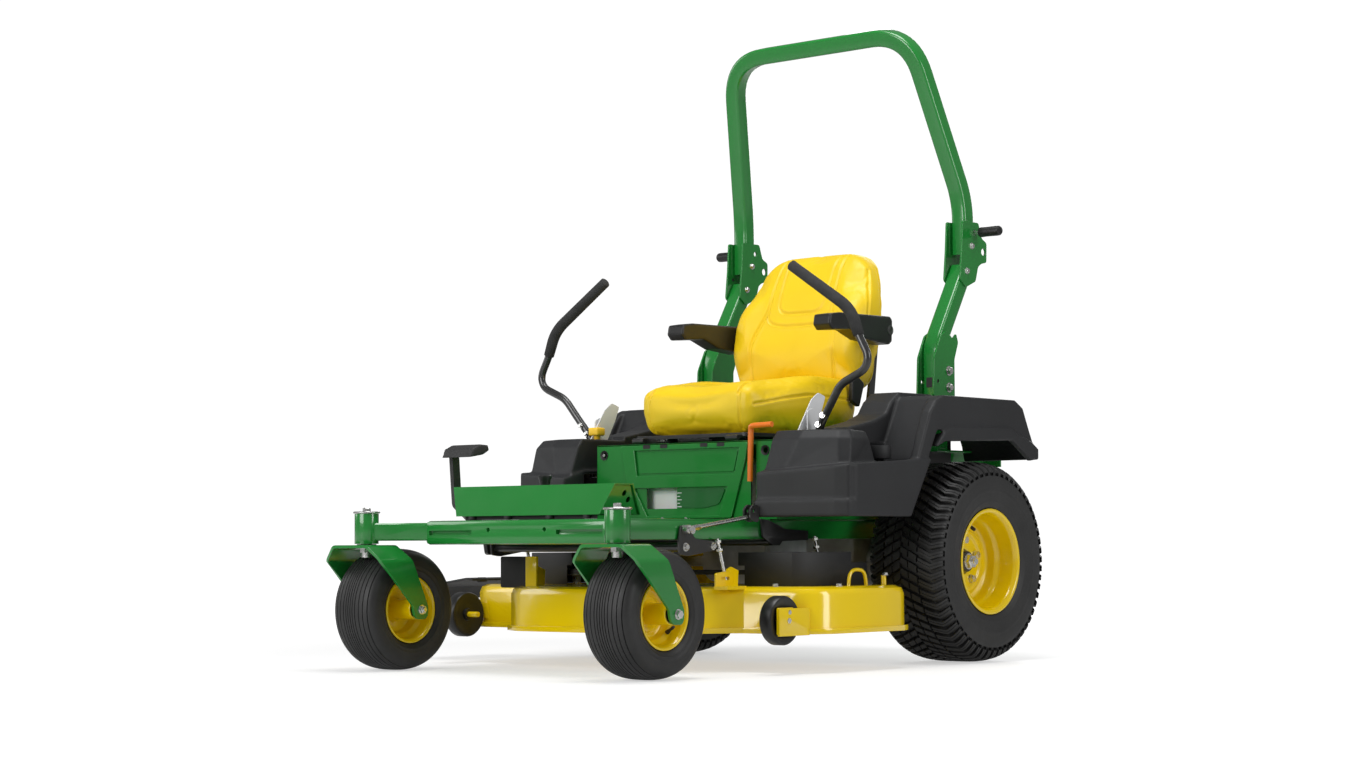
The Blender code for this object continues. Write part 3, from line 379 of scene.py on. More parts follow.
def paint_cad():
    """Every carried-over CAD node gets its material, welded edges, a small round and smooth shading."""
    shading = smoothing_group()
    for item in frame["record"]["subparts"]:
        node = NODES[item["node"]]
        node.data.materials.clear()
        node.data.materials.append(LOOK[item["material_slot"]])
        weld = node.modifiers.new("weld", "WELD")
        weld.merge_threshold = 0.00002
        soften = node.modifiers.new("soften", "BEVEL")
        soften.width = 0.0012
        soften.segments = 2
        soften.limit_method = "ANGLE"
        soften.angle_limit = math.radians(38)
        smooth = node.modifiers.new("smooth", "NODES")
        smooth.node_group = shading


# ---- shapes -------------------------------------------------------------------------------------
def finish_piece(name, work, look, body, stands_for=(), smooth=35.0, bevel=0.0, segments=2):
    """Turn a mesh drawn in the axle frame into a named piece that rides on a body."""
    bmesh.ops.recalc_face_normals(work, faces=work.faces)
    bmesh.ops.translate(work, vec=ORIGIN, verts=work.verts)
    mesh = bpy.data.meshes.new(name)
    work.to_mesh(mesh)
    work.free()
    mesh.shade_smooth()
    mesh.set_sharp_from_angle(angle=math.radians(smooth))
    mesh.materials.append(LOOK[look])
    item = bpy.data.objects.new(name, mesh)
    bpy.context.collection.objects.link(item)
    if bevel:
        rounding = item.modifiers.new("rounding", "BEVEL")
        rounding.width = bevel
        rounding.segments = segments
        rounding.limit_method = "ANGLE"
        rounding.angle_limit = math.radians(smooth)
        rounding.harden_normals = True
    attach(item, body)
    if stands_for:
        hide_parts(*stands_for)
    return item


def loft(work, rings, closed=False, caps=True):
    """Join rings of equal length into one surface, with end caps unless it closes on itself."""
    made = [[work.verts.new(point) for point in ring] for ring in rings]
    pairs = list(zip(made, made[1:]))
    if closed:
        pairs.append((made[-1], made[0]))
    for ring, following in pairs:
        for index in range(len(ring)):
            step = (index + 1) % len(ring)
            work.faces.new((ring[index], ring[step], following[step], following[index]))
    if caps and not closed:
        work.faces.new(made[0][::-1])
        work.faces.new(made[-1])


def frame_along(direction):
    """Two unit vectors square to a direction."""
    direction = Vector(direction).normalized()
    helper = Vector((0, 0, 1)) if abs(direction.z) < 0.9 else Vector((0, 1, 0))
    side = direction.cross(helper).normalized()
    return side, direction.cross(side)


def turned(work, start, direction, profile, sides=32, closed=False):
    """Turn (distance, radius) points about a line through start."""
    direction = Vector(direction).normalized()
    side, other = frame_along(direction)
    rings = []
    for distance, radius in profile:
        centre = Vector(start) + direction * distance
        rings.append([centre + (side * math.cos(a) + other * math.sin(a)) * radius
                      for a in (2 * math.pi * index / sides for index in range(sides))])
    loft(work, rings, closed)


def rod(work, start, end, radius, sides=24, ease=0.0):
    """A round bar with eased ends."""
    span = Vector(end) - Vector(start)
    length = span.length
    profile = [(0, radius), (length, radius)]
    if ease:
        profile = [(0, radius - ease), (ease, radius), (length - ease, radius), (length, radius - ease)]
    turned(work, start, span, profile, sides)


def box(work, low, high):
    """A box between two corners."""
    low, high = Vector(low), Vector(high)
    made = bmesh.ops.create_cube(work, size=1.0)["verts"]
    bmesh.ops.scale(work, vec=high - low, verts=made)
    bmesh.ops.translate(work, vec=(low + high) / 2, verts=made)


def hexagon(work, start, direction, across, height):
    """A hexagon head with its top edge eased."""
    radius = across / math.sqrt(3)
    profile = [(0, radius), (height * 0.8, radius), (height, radius * 0.86)]
    turned(work, start, direction, profile, 6)


def bolt(work, place, direction, across=0.015, washer=True):
    """A bolt head on its washer."""
    direction = Vector(direction).normalized()
    place = Vector(place)
    if washer:
        turned(work, place, direction, [(0, across * 0.75), (0.0012, across * 0.75)], 24)
        place = place + direction * 0.0012
    hexagon(work, place, direction, across, across * 0.45)


def eased(points, reach, steps=4, closed=False):
    """Corner points whose corners are rounded over a reach, kept short of their neighbours."""
    points = [Vector(point) for point in points]
    count = len(points)
    result = []
    for index, corner in enumerate(points):
        if not closed and index in (0, count - 1):
            result.append(corner)
            continue
        before = points[index - 1] - corner
        after = points[(index + 1) % count] - corner
        start = corner + before.normalized() * min(reach, before.length * 0.45)
        end = corner + after.normalized() * min(reach, after.length * 0.45)
        for step in range(steps + 1):
            part = step / steps
            result.append(start * (1 - part) ** 2 + corner * 2 * part * (1 - part) + end * part ** 2)
    return result


def pipe(work, path, radius, sides=16, section=None, facing=None):
    """A bar swept along a path; a section of (across, up) points replaces the circle."""
    path = [Vector(point) for point in path]
    rings = []
    side = None
    for index, place in enumerate(path):
        before = path[max(index - 1, 0)]
        after = path[min(index + 1, len(path) - 1)]
        along = (after - before).normalized()
        if side is None:
            side = frame_along(along)[0] if facing is None else Vector(facing)
        side = (side - along * side.dot(along)).normalized()
        other = along.cross(side)
        if section:
            rings.append([place + side * a + other * b for a, b in section])
        else:
            angles = [2 * math.pi * step / sides for step in range(sides)]
            rings.append([place + (side * math.cos(a) + other * math.sin(a)) * radius for a in angles])
    loft(work, rings)


def flat_mesh(outline, axis, low, high, holes=()):
    """A flat outline with holes, extruded between two values of an axis, as a mesh."""
    curve = bpy.data.curves.new("outline", "CURVE")
    curve.dimensions = "2D"
    curve.fill_mode = "BOTH"
    curve.extrude = (high - low) / 2
    for loop in (outline, *holes):
        spline = curve.splines.new("POLY")
        spline.points.add(len(loop) - 1)
        spline.use_cyclic_u = True
        for point, place_2d in zip(spline.points, loop):
            point.co = (place_2d[0], place_2d[1], 0.0, 1.0)
    item = bpy.data.objects.new("outline", curve)
    bpy.context.collection.objects.link(item)
    bpy.context.view_layer.update()
    mesh = bpy.data.meshes.new_from_object(item.evaluated_get(bpy.context.evaluated_depsgraph_get()))
    bpy.data.objects.remove(item)
    columns = {"X": ((0, 1, 0), (0, 0, 1), (1, 0, 0)), "Y": ((1, 0, 0), (0, 0, 1), (0, -1, 0)),
               "Z": ((1, 0, 0), (0, 1, 0), (0, 0, 1))}[axis]
    middle = (low + high) / 2
    shift = {"X": (middle, 0, 0), "Y": (0, middle, 0), "Z": (0, 0, middle)}[axis]
    mesh.transform(Matrix.Translation(shift) @ Matrix(columns).transposed().to_4x4())
    return mesh


def plate(work, outline, axis, low, high, holes=(), round_corners=0.0):
    """A flat outline extruded between two values of an axis, with holes."""
    if round_corners:
        outline = eased([(*point, 0) for point in outline], round_corners, 4, True)
    mesh = flat_mesh(outline, axis, low, high, holes)
    part = bmesh.new()
    part.from_mesh(mesh)
    bmesh.ops.remove_doubles(part, verts=part.verts, dist=0.00001)
    bmesh.ops.dissolve_limit(part, angle_limit=0.005, verts=part.verts, edges=part.edges)
    bmesh.ops.recalc_face_normals(part, faces=part.faces)
    part.to_mesh(mesh)
    part.free()
    work.from_mesh(mesh)
    bpy.data.meshes.remove(mesh)


def circle(centre, radius, steps=20):
    angles = [2 * math.pi * index / steps for index in range(steps)]
    return [(centre[0] + radius * math.cos(a), centre[1] + radius * math.sin(a)) for a in angles]


def mirrored_work(work):
    """A copy of a mesh on the machine's other side."""
    other = work.copy()
    bmesh.ops.scale(other, vec=(-1, 1, 1), verts=other.verts)
    bmesh.ops.reverse_faces(other, faces=other.faces)
    return other


def finish_pair(name, work, look, body, stands_for=(), **options):
    """Finish a left-hand piece and its mirrored right-hand twin; names end in _left and _right."""
    other = mirrored_work(work)
    bodies = body if isinstance(body, tuple) else (body + "_left", body + "_right")
    finish_piece(name + "_left", work, look, bodies[0], [n + "_left" for n in stands_for], **options)
    finish_piece(name + "_right", other, look, bodies[1], [n + "_right" for n in stands_for], **options)


BOTH_CHASSIS = ("chassis", "chassis")


# ---- wheels -------------------------------------------------------------------------------------
FRONT_X, FRONT_Y, FRONT_R = 0.4458, -1.2504, 0.1616
REAR_X, REAR_R = 0.5223, 0.2794
KINGPIN_Y = -1.3493


def crown(along, half, radius, waist, power):
    """A tyre's radius at a distance from its middle plane."""
    share = min(abs(along) / half, 1.0)
    return waist + (radius - waist) * (1.0 - share ** power) ** (1.0 / power)


def crown_points(half, radius, waist, power, steps):
    """Points of a tyre's crown from one sidewall to the other."""
    points = []
    for index in range(steps + 1):
        angle = math.pi * (1 - index / steps)
        cosine, sine = math.cos(angle), math.sin(angle)
        along = half * math.copysign(abs(cosine) ** (2 / power), cosine)
        points.append((along, waist + (radius - waist) * abs(sine) ** (2 / power)))
    return points


def sidewall(half, waist, bead_half, bead, ridges, steps=22):
    """Points of one sidewall from the waist in to the bead, with moulded ridges."""
    points = []
    for index in range(1, steps + 1):
        angle = math.pi / 2 * index / steps
        along = bead_half + (half - bead_half) * math.cos(angle)
        radius = waist - (waist - bead) * math.sin(angle)
        lift = sum(0.0011 * math.exp(-((radius - ridge) / 0.0016) ** 2) for ridge in ridges)
        points.append((along + lift, radius))
    return points


def front_tyre_profile():
    grooves = (-0.061, -0.048, -0.035, -0.0215, -0.012, -0.004, 0.004, 0.012, 0.0215, 0.035, 0.048,
               0.061)
    half, waist, power = 0.0755, 0.125, 3.0
    width, depth = 0.0024, 0.0042
    outside = [point for point in crown_points(half, FRONT_R, waist, power, 64)
               if all(abs(point[0] - groove) > width * 0.8 for groove in grooves)]
    for groove in grooves:
        for offset, drop in ((-0.5, 0), (-0.3, depth), (0.3, depth), (0.5, 0)):
            along = groove + offset * width
            outside.append((along, crown(along, half, FRONT_R, waist, power) - drop))
    outside.sort()
    right = sidewall(half, waist, 0.06, 0.0898, (0.116, 0.104))
    left = [(-along, radius) for along, radius in reversed(right)]
    inside = [(0.055, 0.084), (0.049, 0.09), (0.068, 0.125), (0.062, 0.146), (0.04, 0.152)]
    inside_left = [(-along, radius) for along, radius in reversed(inside)]
    return left + outside + right + inside + inside_left


def build_front_wheels():
    centre = (FRONT_X, FRONT_Y, FRONT_R)
    tyre = bmesh.new()
    turned(tyre, centre, (1, 0, 0), front_tyre_profile(), 112, True)
    finish_pair("ribbed_tyre", tyre, "tyre", "front_wheel", ["caster_tyre"], smooth=40)
    outer = [(0.0665, 0.0892), (0.0665, 0.0835), (0.057, 0.0775), (0.035, 0.075), (0.025, 0.064),
             (0.006, 0.06), (0.006, 0.047), (0.0105, 0.043), (0.0105, 0.034), (0.017, 0.027),
             (0.088, 0.0265), (0.088, 0.0215), (0.083, 0.021), (0.083, 0.0105)]
    inner = [(-0.083, 0.0105), (-0.083, 0.021), (-0.088, 0.0215), (-0.088, 0.0265), (-0.01, 0.027),
             (0.0, 0.034), (0.0, 0.06), (-0.025, 0.064), (-0.035, 0.075), (-0.057, 0.0775),
             (-0.0665, 0.0835), (-0.0665, 0.0892)]
    seat = [(-0.0635, 0.0898), (-0.0605, 0.085), (-0.055, 0.0815), (-0.037, 0.079), (-0.028, 0.069)]
    seat_right = [(-along, radius) for along, radius in reversed(seat)]
    loop = eased([(*point, 0) for point in outer + inner + seat + seat_right], 0.0035, 3, True)
    rim = bmesh.new()
    turned(rim, centre, (1, 0, 0), [(point.x, point.y) for point in loop], 72, True)
    finish_pair("front_rim", rim, "yellow_paint", "front_wheel", ["caster_rim"], smooth=50)
    stem = bmesh.new()
    foot = Vector(centre) + Vector((0.03, 0.05, -0.046))
    turned(stem, foot, (0.85, -0.3, 0.4), [(0, 0.006), (0.008, 0.0055), (0.012, 0.0042), (0.026, 0.0036),
                                             (0.0265, 0.0044), (0.034, 0.004), (0.035, 0.003)], 16)
    finish_pair("front_valve", stem, "rubber", "front_wheel")
    seals = bmesh.new()
    for side in (-1, 1):
        spot = Vector(centre) + Vector((side * 0.0832, 0, 0))
        turned(seals, spot, (side, 0, 0), [(0, 0.0205), (0.0022, 0.02), (0.003, 0.014), (0.006, 0.013),
                                           (0.015, 0.0128), (0.016, 0.0118)], 28)
    finish_pair("front_wheel_seals", seals, "smooth_plastic", "front_wheel")


LUG_PITCHES = 60
LUG_HALF, LUG_WAIST, LUG_POWER = 0.1245, 0.215, 3.6


def lug(work, centre, path, start, thick, drop=0.0):
    """One tread block; its path crosses the tyre and its thickness lies along the tread."""
    rings = []
    for along, shift in path:
        top = crown(along, LUG_HALF, REAR_R, LUG_WAIST, LUG_POWER) - drop
        base = crown(along, LUG_HALF, REAR_R - 0.016, LUG_WAIST - 0.005, LUG_POWER)
        ring = []
        for reach, radius in ((-0.62, base), (-0.5, top), (0.5, top), (0.62, base)):
            angle = (start + shift + reach * thick) / REAR_R
            ring.append(centre + Vector((along, radius * math.cos(angle), radius * math.sin(angle))))
        rings.append(ring)
    loft(work, rings)


def build_rear_tyre():
    centre = Vector((REAR_X, 0.0, REAR_R))
    work = bmesh.new()
    half, waist = 0.1225, 0.212
    outside = crown_points(half, REAR_R - 0.0115, waist, LUG_POWER, 40)
    right = sidewall(half, waist, 0.1055, 0.147, (0.198, 0.166))
    left = [(-along, radius) for along, radius in reversed(right)]
    inside = [(0.099, 0.14), (0.091, 0.147), (0.112, 0.205), (0.105, 0.245), (0.07, 0.256)]
    inside_left = [(-along, radius) for along, radius in reversed(inside)]
    turned(work, centre, (1, 0, 0), left + outside + right + inside + inside_left, 120, True)
    pitch = 2 * math.pi * REAR_R / LUG_PITCHES
    shoulder = [(0.058, -0.012), (0.076, -0.003), (0.094, 0.006), (0.106, 0.002), (0.115, -0.002),
                (0.1205, -0.004)]
    middle = [(0.028, -0.016), (0.04, -0.009), (0.053, -0.002)]
    inner = [(0.0015, -0.014), (0.013, -0.008), (0.024, -0.002)]
    for side in (-1, 1):
        for index in range(LUG_PITCHES):
            start = (index + (0.25 if side > 0 else 0.75)) * pitch
            rows = ((shoulder, 0.0, 0.017, 0.0026), (middle, 0.5, 0.0175, 0.0), (inner, 0.0, 0.0165, 0.0))
            for path, offset, thick, drop in rows:
                sided = [(side * along, shift) for along, shift in path]
                lug(work, centre, sided, start + offset * pitch, thick, drop)
            for strip in (-1, 1):
                lug(work, centre, [(side * along, shift) for along, shift in shoulder],
                    start + strip * 0.0044, 0.0068)
    finish_pair("turf_tyre", work, "tyre", "rear_wheel", ["drive_tyre"], smooth=38)


def build_rear_rims():
    centre = Vector((REAR_X, 0.0, REAR_R))
    outer = [(0.113, 0.1466), (0.113, 0.1385), (0.101, 0.13), (0.058, 0.1245), (0.048, 0.115),
             (0.024, 0.1125), (0.02, 0.1), (0.02, 0.093), (0.025, 0.088), (0.025, 0.078),
             (0.02, 0.073), (0.02, 0.035)]
    inner = [(0.016, 0.035), (0.016, 0.112), (-0.048, 0.115), (-0.058, 0.1245), (-0.101, 0.13),
             (-0.113, 0.1385), (-0.113, 0.1466)]
    seat = [(-0.1095, 0.1476), (-0.107, 0.1405), (-0.098, 0.1345), (-0.06, 0.129), (-0.052, 0.12)]
    seat_right = [(-along, radius) for along, radius in reversed(seat)]
    loop = eased([(*point, 0) for point in outer + inner + seat + seat_right], 0.005, 3, True)
    rim = bmesh.new()
    turned(rim, centre, (1, 0, 0), [(point.x, point.y) for point in loop], 96, True)
    finish_pair("rear_rim", rim, "yellow_paint", "rear_wheel", ["drive_rim"], smooth=50)
    hub = bmesh.new()
    turned(hub, centre + Vector((-0.012, 0, 0)), (1, 0, 0),
           [(0, 0.03), (0, 0.068), (0.0275, 0.068), (0.0275, 0.0345), (0.033, 0.034), (0.04, 0.03),
            (0.046, 0.029), (0.048, 0.027), (0.048, 0.0165), (0, 0.0165)], 48, True)
    finish_pair("wheel_hub", hub, "black_paint", "rear_wheel", smooth=40)
    metal_bits = bmesh.new()
    for index in range(5):
        angle = 2 * math.pi * (index + 0.25) / 5
        spot = centre + Vector((0.0202, 0.06 * math.cos(angle), 0.06 * math.sin(angle)))
        turned(metal_bits, spot, (1, 0, 0), [(0, 0.012), (0.004, 0.0105)], 20)
        hexagon(metal_bits, spot + Vector((0.004, 0, 0)), (1, 0, 0), 0.019, 0.01)
    turned(metal_bits, centre + Vector((0.036, 0, 0)), (1, 0, 0), [(0, 0.0225), (0.003, 0.0225)], 28)
    hexagon(metal_bits, centre + Vector((0.039, 0, 0)), (1, 0, 0), 0.036, 0.016)
    rod(metal_bits, centre + Vector((0.019, 0, 0)), centre + Vector((0.064, 0, 0)), 0.0098, 24, 0.001)
    finish_pair("wheel_bolts", metal_bits, "zinc", "rear_wheel", smooth=30)
    stem = bmesh.new()
    foot = centre + Vector((0.036, -0.022, 0.112))
    turned(stem, foot, (0.8, 0.1, -0.55), [(0, 0.0075), (0.01, 0.0065), (0.014, 0.0048), (0.032, 0.0042),
                                             (0.0325, 0.0052), (0.043, 0.0047), (0.044, 0.003)], 16)
    finish_pair("rear_valve", stem, "rubber", "rear_wheel")


# ---- caster forks -------------------------------------------------------------------------------
def read_off(table, value):
    """Read a rising table of (value, result) pairs between its rows."""
    if value <= table[0][0]:
        return table[0][1]
    for (low, first), (high, second) in zip(table, table[1:]):
        if value <= high:
            return first + (second - first) * (value - low) / (high - low)
    return table[-1][1]


def build_forks():
    hub = FRONT_Y
    front = [(0.136, hub - 0.01), (0.1385, hub - 0.017), (0.146, hub - 0.0245), (0.158, hub - 0.029),
             (0.172, hub - 0.031), (0.29, -1.396), (0.3285, -1.41)]
    back = [(0.136, hub + 0.01), (0.1385, hub + 0.017), (0.146, hub + 0.0225), (0.158, hub + 0.0245),
            (0.172, hub + 0.024), (0.304, -1.288), (0.3285, -1.302)]
    heights = (0.136, 0.1385, 0.142, 0.146, 0.151, 0.158, 0.172, 0.2, 0.24)
    outer = [(0.1075, z) for z in heights] + [(0.1075, 0.293), (0.066, 0.333)]
    inner = [(0.0995, z) for z in heights] + [(0.0995, 0.2895), (0.0628, 0.325)]
    outer += [(-x, z) for x, z in reversed(outer)]
    inner += [(-x, z) for x, z in reversed(inner)]
    outer = eased([(*point, 0) for point in outer], 0.009, 3)
    inner = eased([(*point, 0) for point in inner], 0.009, 3)
    rings = []
    for out, within in zip(outer, inner):
        nose, tail = read_off(front, out.y), read_off(back, out.y)
        rings.append([(FRONT_X + out.x, nose, out.y), (FRONT_X + out.x, tail, out.y),
                      (FRONT_X + within.x, tail, within.y), (FRONT_X + within.x, nose, within.y)])
    fork = bmesh.new()
    loft(fork, rings)
    rod(fork, (FRONT_X, KINGPIN_Y, 0.33), (FRONT_X, KINGPIN_Y, 0.3355), 0.026, 32, 0.001)
    finish_pair("fork", fork, "green_paint", "caster", ["caster_fork"], smooth=32, bevel=0.0014)
    pins = bmesh.new()
    turned(pins, (FRONT_X, KINGPIN_Y, 0.4165), (0, 0, 1),
           [(0, 0.0345), (0.001, 0.0358), (0.004, 0.0358), (0.0055, 0.034), (0.0058, 0.015)], 40)
    hexagon(pins, (FRONT_X, KINGPIN_Y, 0.4222), (0, 0, 1), 0.019, 0.0105)
    rod(pins, (FRONT_X, KINGPIN_Y, 0.3), (FRONT_X, KINGPIN_Y, 0.418), 0.015, 28)
    hexagon(pins, (FRONT_X, KINGPIN_Y, 0.3245), (0, 0, -1), 0.03, 0.012)
    for side in (-1, 1):
        spot = Vector((FRONT_X + side * 0.1076, hub, FRONT_R))
        turned(pins, spot, (side, 0, 0), [(0, 0.013), (0.0018, 0.013)], 28)
        hexagon(pins, spot + Vector((side * 0.0018, 0, 0)), (side, 0, 0), 0.019, 0.0085)
    rod(pins, (FRONT_X - 0.1215, hub, FRONT_R), (FRONT_X + 0.112, hub, FRONT_R), 0.0064, 20, 0.0008)
    rod(pins, (FRONT_X - 0.099, hub, FRONT_R), (FRONT_X + 0.099, hub, FRONT_R), 0.0092, 20)
    finish_pair("fork_bolts", pins, "zinc", "caster", smooth=30)


# ---- side mouldings -----------------------------------------------------------------------------
def solid_object(work):
    """A plain object for the modelling steps, which is not kept."""
    bmesh.ops.recalc_face_normals(work, faces=work.faces)
    mesh = bpy.data.meshes.new("step")
    work.to_mesh(mesh)
    work.free()
    item = bpy.data.objects.new("step", mesh)
    bpy.context.collection.objects.link(item)
    return item


def reopened(mesh):
    """A mesh opened for editing."""
    work = bmesh.new()
    work.from_mesh(mesh)
    return work


def evaluated_mesh(item):
    """A new mesh with the object's modifiers applied."""
    bpy.context.view_layer.update()
    return bpy.data.meshes.new_from_object(item.evaluated_get(bpy.context.evaluated_depsgraph_get()))


def combined(pieces, cuts=(), keep=()):
    """Union of shapes, kept within some and cut by others, as one mesh."""
    base = solid_object(pieces[0])
    for operation, others in (("UNION", pieces[1:]), ("INTERSECT", keep), ("DIFFERENCE", cuts)):
        for other in others:
            cutter = solid_object(other)
            step = base.modifiers.new("step", "BOOLEAN")
            step.operation = operation
            step.solver = "EXACT"
            step.object = cutter
            mesh = evaluated_mesh(base)
            bpy.data.objects.remove(cutter)
            bpy.data.objects.remove(base)
            base = bpy.data.objects.new("step", mesh)
            bpy.context.collection.objects.link(base)
    mesh = base.data
    bpy.data.objects.remove(base)
    return mesh


def softened(mesh, voxel, rounds, keep_share=1.0):
    """Remesh a hard-edged shape finely and round all its edges, as a moulding's are."""
    item = bpy.data.objects.new("step", mesh)
    bpy.context.collection.objects.link(item)
    remesh = item.modifiers.new("remesh", "REMESH")
    remesh.mode = "VOXEL"
    remesh.voxel_size = voxel
    smooth = item.modifiers.new("smooth", "SMOOTH")
    smooth.factor = 0.5
    smooth.iterations = rounds
    if keep_share < 1.0:
        fewer = item.modifiers.new("fewer", "DECIMATE")
        fewer.ratio = keep_share
    made = evaluated_mesh(item)
    bpy.data.objects.remove(item)
    return reopened(made)


def prism(outline, axis, low, high):
    """An outline extruded between two values of an axis."""
    work = bmesh.new()
    plate(work, outline, axis, low, high)
    return work


def block(low, high):
    """A box between two corners, as a shape of its own."""
    work = bmesh.new()
    box(work, low, high)
    return work


def faceted(levels):
    """A solid through polygons of equal length, one at each height."""
    work = bmesh.new()
    loft(work, [[(*point, z) for point in outline] for z, outline in levels])
    return work


def inset(outline, amount):
    """An outline moved inwards by an amount, corner by corner."""
    points = [Vector(point) for point in outline]
    area = sum(a.x * b.y - b.x * a.y for a, b in zip(points, points[1:] + points[:1]))
    turn = 1 if area > 0 else -1
    moved = []
    for index, here in enumerate(points):
        before = (here - points[index - 1]).normalized()
        after = (points[(index + 1) % len(points)] - here).normalized()
        first = Vector((-before.y, before.x)) * turn
        second = Vector((-after.y, after.x)) * turn
        middle = (first + second).normalized()
        moved.append(here + middle * amount / max(middle.dot(first), 0.3))
    return [tuple(point) for point in moved]


SKIN = 0.0075
MOULDING_BOTTOM = 0.402
INNER_FACE = 0.352
PIT = (0.3, 0.65)
TRAY_PLAN = [(0.347, -0.688), (0.56, -0.622), (0.595, -0.606), (0.604, -0.58), (0.604, -0.15),
             (0.347, -0.15)]
TRAY_SIDE = [(-0.75, 0.402), (-0.334, 0.402), (-0.236, 0.56), (-0.31, 0.557), (-0.6, 0.541),
             (-0.75, 0.505)]
TRAY_BAND = [(0.3455, -0.693), (0.562, -0.628), (0.599, -0.611), (0.604, -0.586), (0.604, -0.56),
             (0.3455, -0.56)]
TRAY_HOLLOW = [(-0.6, 0.4), (-0.346, 0.4), (-0.252, 0.548), (-0.32, 0.5465), (-0.6, 0.532)]
ARCH = [(-0.36, 0.43), (-0.334, 0.402), (-0.196, 0.64), (0.13, 0.64), (0.262, 0.566), (0.3, 0.57),
        (0.302, 0.6), (0.286, 0.618), (0.236, 0.716), (0.196, 0.738), (-0.165, 0.738), (-0.204, 0.722),
        (-0.232, 0.69), (-0.292, 0.56), (-0.36, 0.552)]
ARCH_HOLLOW = [(-0.345, 0.39), (-0.328, 0.39), (-0.188, 0.632), (0.128, 0.632), (0.262, 0.556),
               (0.29, 0.57), (0.278, 0.612), (0.229, 0.709), (0.192, 0.7305), (-0.162, 0.7305),
               (-0.198, 0.715), (-0.226, 0.686), (-0.285, 0.556)]
ARCH_LIP = [(-0.215, 0.592), (-0.17, 0.61), (0.165, 0.622), (0.262, 0.566), (0.3, 0.57), (0.302, 0.6),
            (0.272, 0.618), (0.148, 0.657), (-0.134, 0.65), (-0.176, 0.632)]
SADDLE = [(-0.23, 0.6), (-0.215, 0.7), (-0.175, 0.738), (0.19, 0.738), (0.19, 0.64), (-0.196, 0.62)]
HUMP = [(-0.42, 0.52), (-0.42, 0.645), (-0.3, 0.668), (-0.238, 0.69), (-0.212, 0.724), (-0.172, 0.752),
        (0.15, 0.752), (0.2, 0.735), (0.215, 0.66), (-0.196, 0.64), (-0.3, 0.52)]
CONSOLE = [
    (0.455, [(0.352, -0.676), (0.398, -0.668), (0.56, -0.612), (0.584, -0.59), (0.56, -0.42),
             (0.352, -0.42)]),
    (0.526, [(0.352, -0.656), (0.412, -0.65), (0.56, -0.6), (0.58, -0.578), (0.548, -0.415),
             (0.352, -0.415)]),
    (0.61, [(0.352, -0.622), (0.446, -0.628), (0.548, -0.588), (0.572, -0.56), (0.52, -0.408),
             (0.352, -0.408)]),
    (0.634, [(0.352, -0.602), (0.446, -0.606), (0.536, -0.57), (0.556, -0.545), (0.506, -0.405),
             (0.352, -0.405)])]
POCKET = [
    (0.476, [(0.452, -0.404), (0.5, -0.404), (0.556, -0.398), (0.56, -0.3), (0.452, -0.3)]),
    (0.56, [(0.452, -0.405), (0.52, -0.41), (0.572, -0.4), (0.568, -0.275), (0.452, -0.275)]),
    (0.69, [(0.452, -0.405), (0.54, -0.42), (0.574, -0.42), (0.562, -0.205), (0.452, -0.205)]),
    (0.8, [(0.452, -0.41), (0.54, -0.45), (0.574, -0.45), (0.562, -0.15), (0.452, -0.15)])]


def moulding_solid():
    """The moulding's outer form: tray, console, arch over the tyre and inner hump."""
    tray = combined([prism(TRAY_PLAN, "Z", MOULDING_BOTTOM, 0.6)], keep=[prism(TRAY_SIDE, "X", *PIT)])
    return combined([reopened(tray), prism(TRAY_BAND, "Z", MOULDING_BOTTOM, 0.446), faceted(CONSOLE),
                     prism(ARCH, "X", 0.52, 0.5965), prism(ARCH[1:-2], "X", INNER_FACE, 0.525),
                     prism(ARCH_LIP, "X", 0.57, 0.6045), prism(HUMP, "X", INNER_FACE, 0.452),
                     prism(SADDLE, "X", 0.44, 0.56)])


def console_hollow():
    """The console's inside, a skin smaller than its outside and open below."""
    levels = []
    for z, plan in CONSOLE:
        drop = 0.015 if z < 0.5 else 0.0 if z < 0.6 else SKIN
        levels.append((z - drop, inset(plan, SKIN)))
    return faceted(levels)


def pocket_wall():
    """The walls round the pocket in front of the hump."""
    return faceted([(max(z - SKIN, 0.468) if z < 0.5 else z, inset(plan, -SKIN)) for z, plan in POCKET])


def moulding():
    """One side moulding as a hollow shell with its open pocket and the slots for lever and post."""
    solid = moulding_solid()
    hollow = [prism(inset(TRAY_PLAN, SKIN), "Z", 0.39, 0.452), console_hollow(),
              prism(TRAY_HOLLOW, "X", 0.3, 0.5965), prism(ARCH_HOLLOW, "X", 0.3, 0.5885),
              block((0.2, -0.595, 0.36), (0.3475, 0.32, 0.64)),
              block((0.2, -0.15, 0.6), (0.38, 0.24, 0.7445))]
    shell = combined([reopened(solid)], hollow)
    wall = combined([pocket_wall()], keep=[reopened(solid)])
    lever_slot = block((0.405, -0.54, 0.585), (0.47, -0.412, 0.7))
    post_slot = block((0.37, -0.01, 0.7), (0.45, 0.134, 0.8))
    return combined([reopened(shell), reopened(wall)], [faceted(POCKET), lever_slot, post_slot])


def build_mouldings():
    finish_pair("side_moulding", softened(moulding(), 0.0038, 5, 0.45), "black_plastic", BOTH_CHASSIS,
                ["console", "fender"], smooth=60)


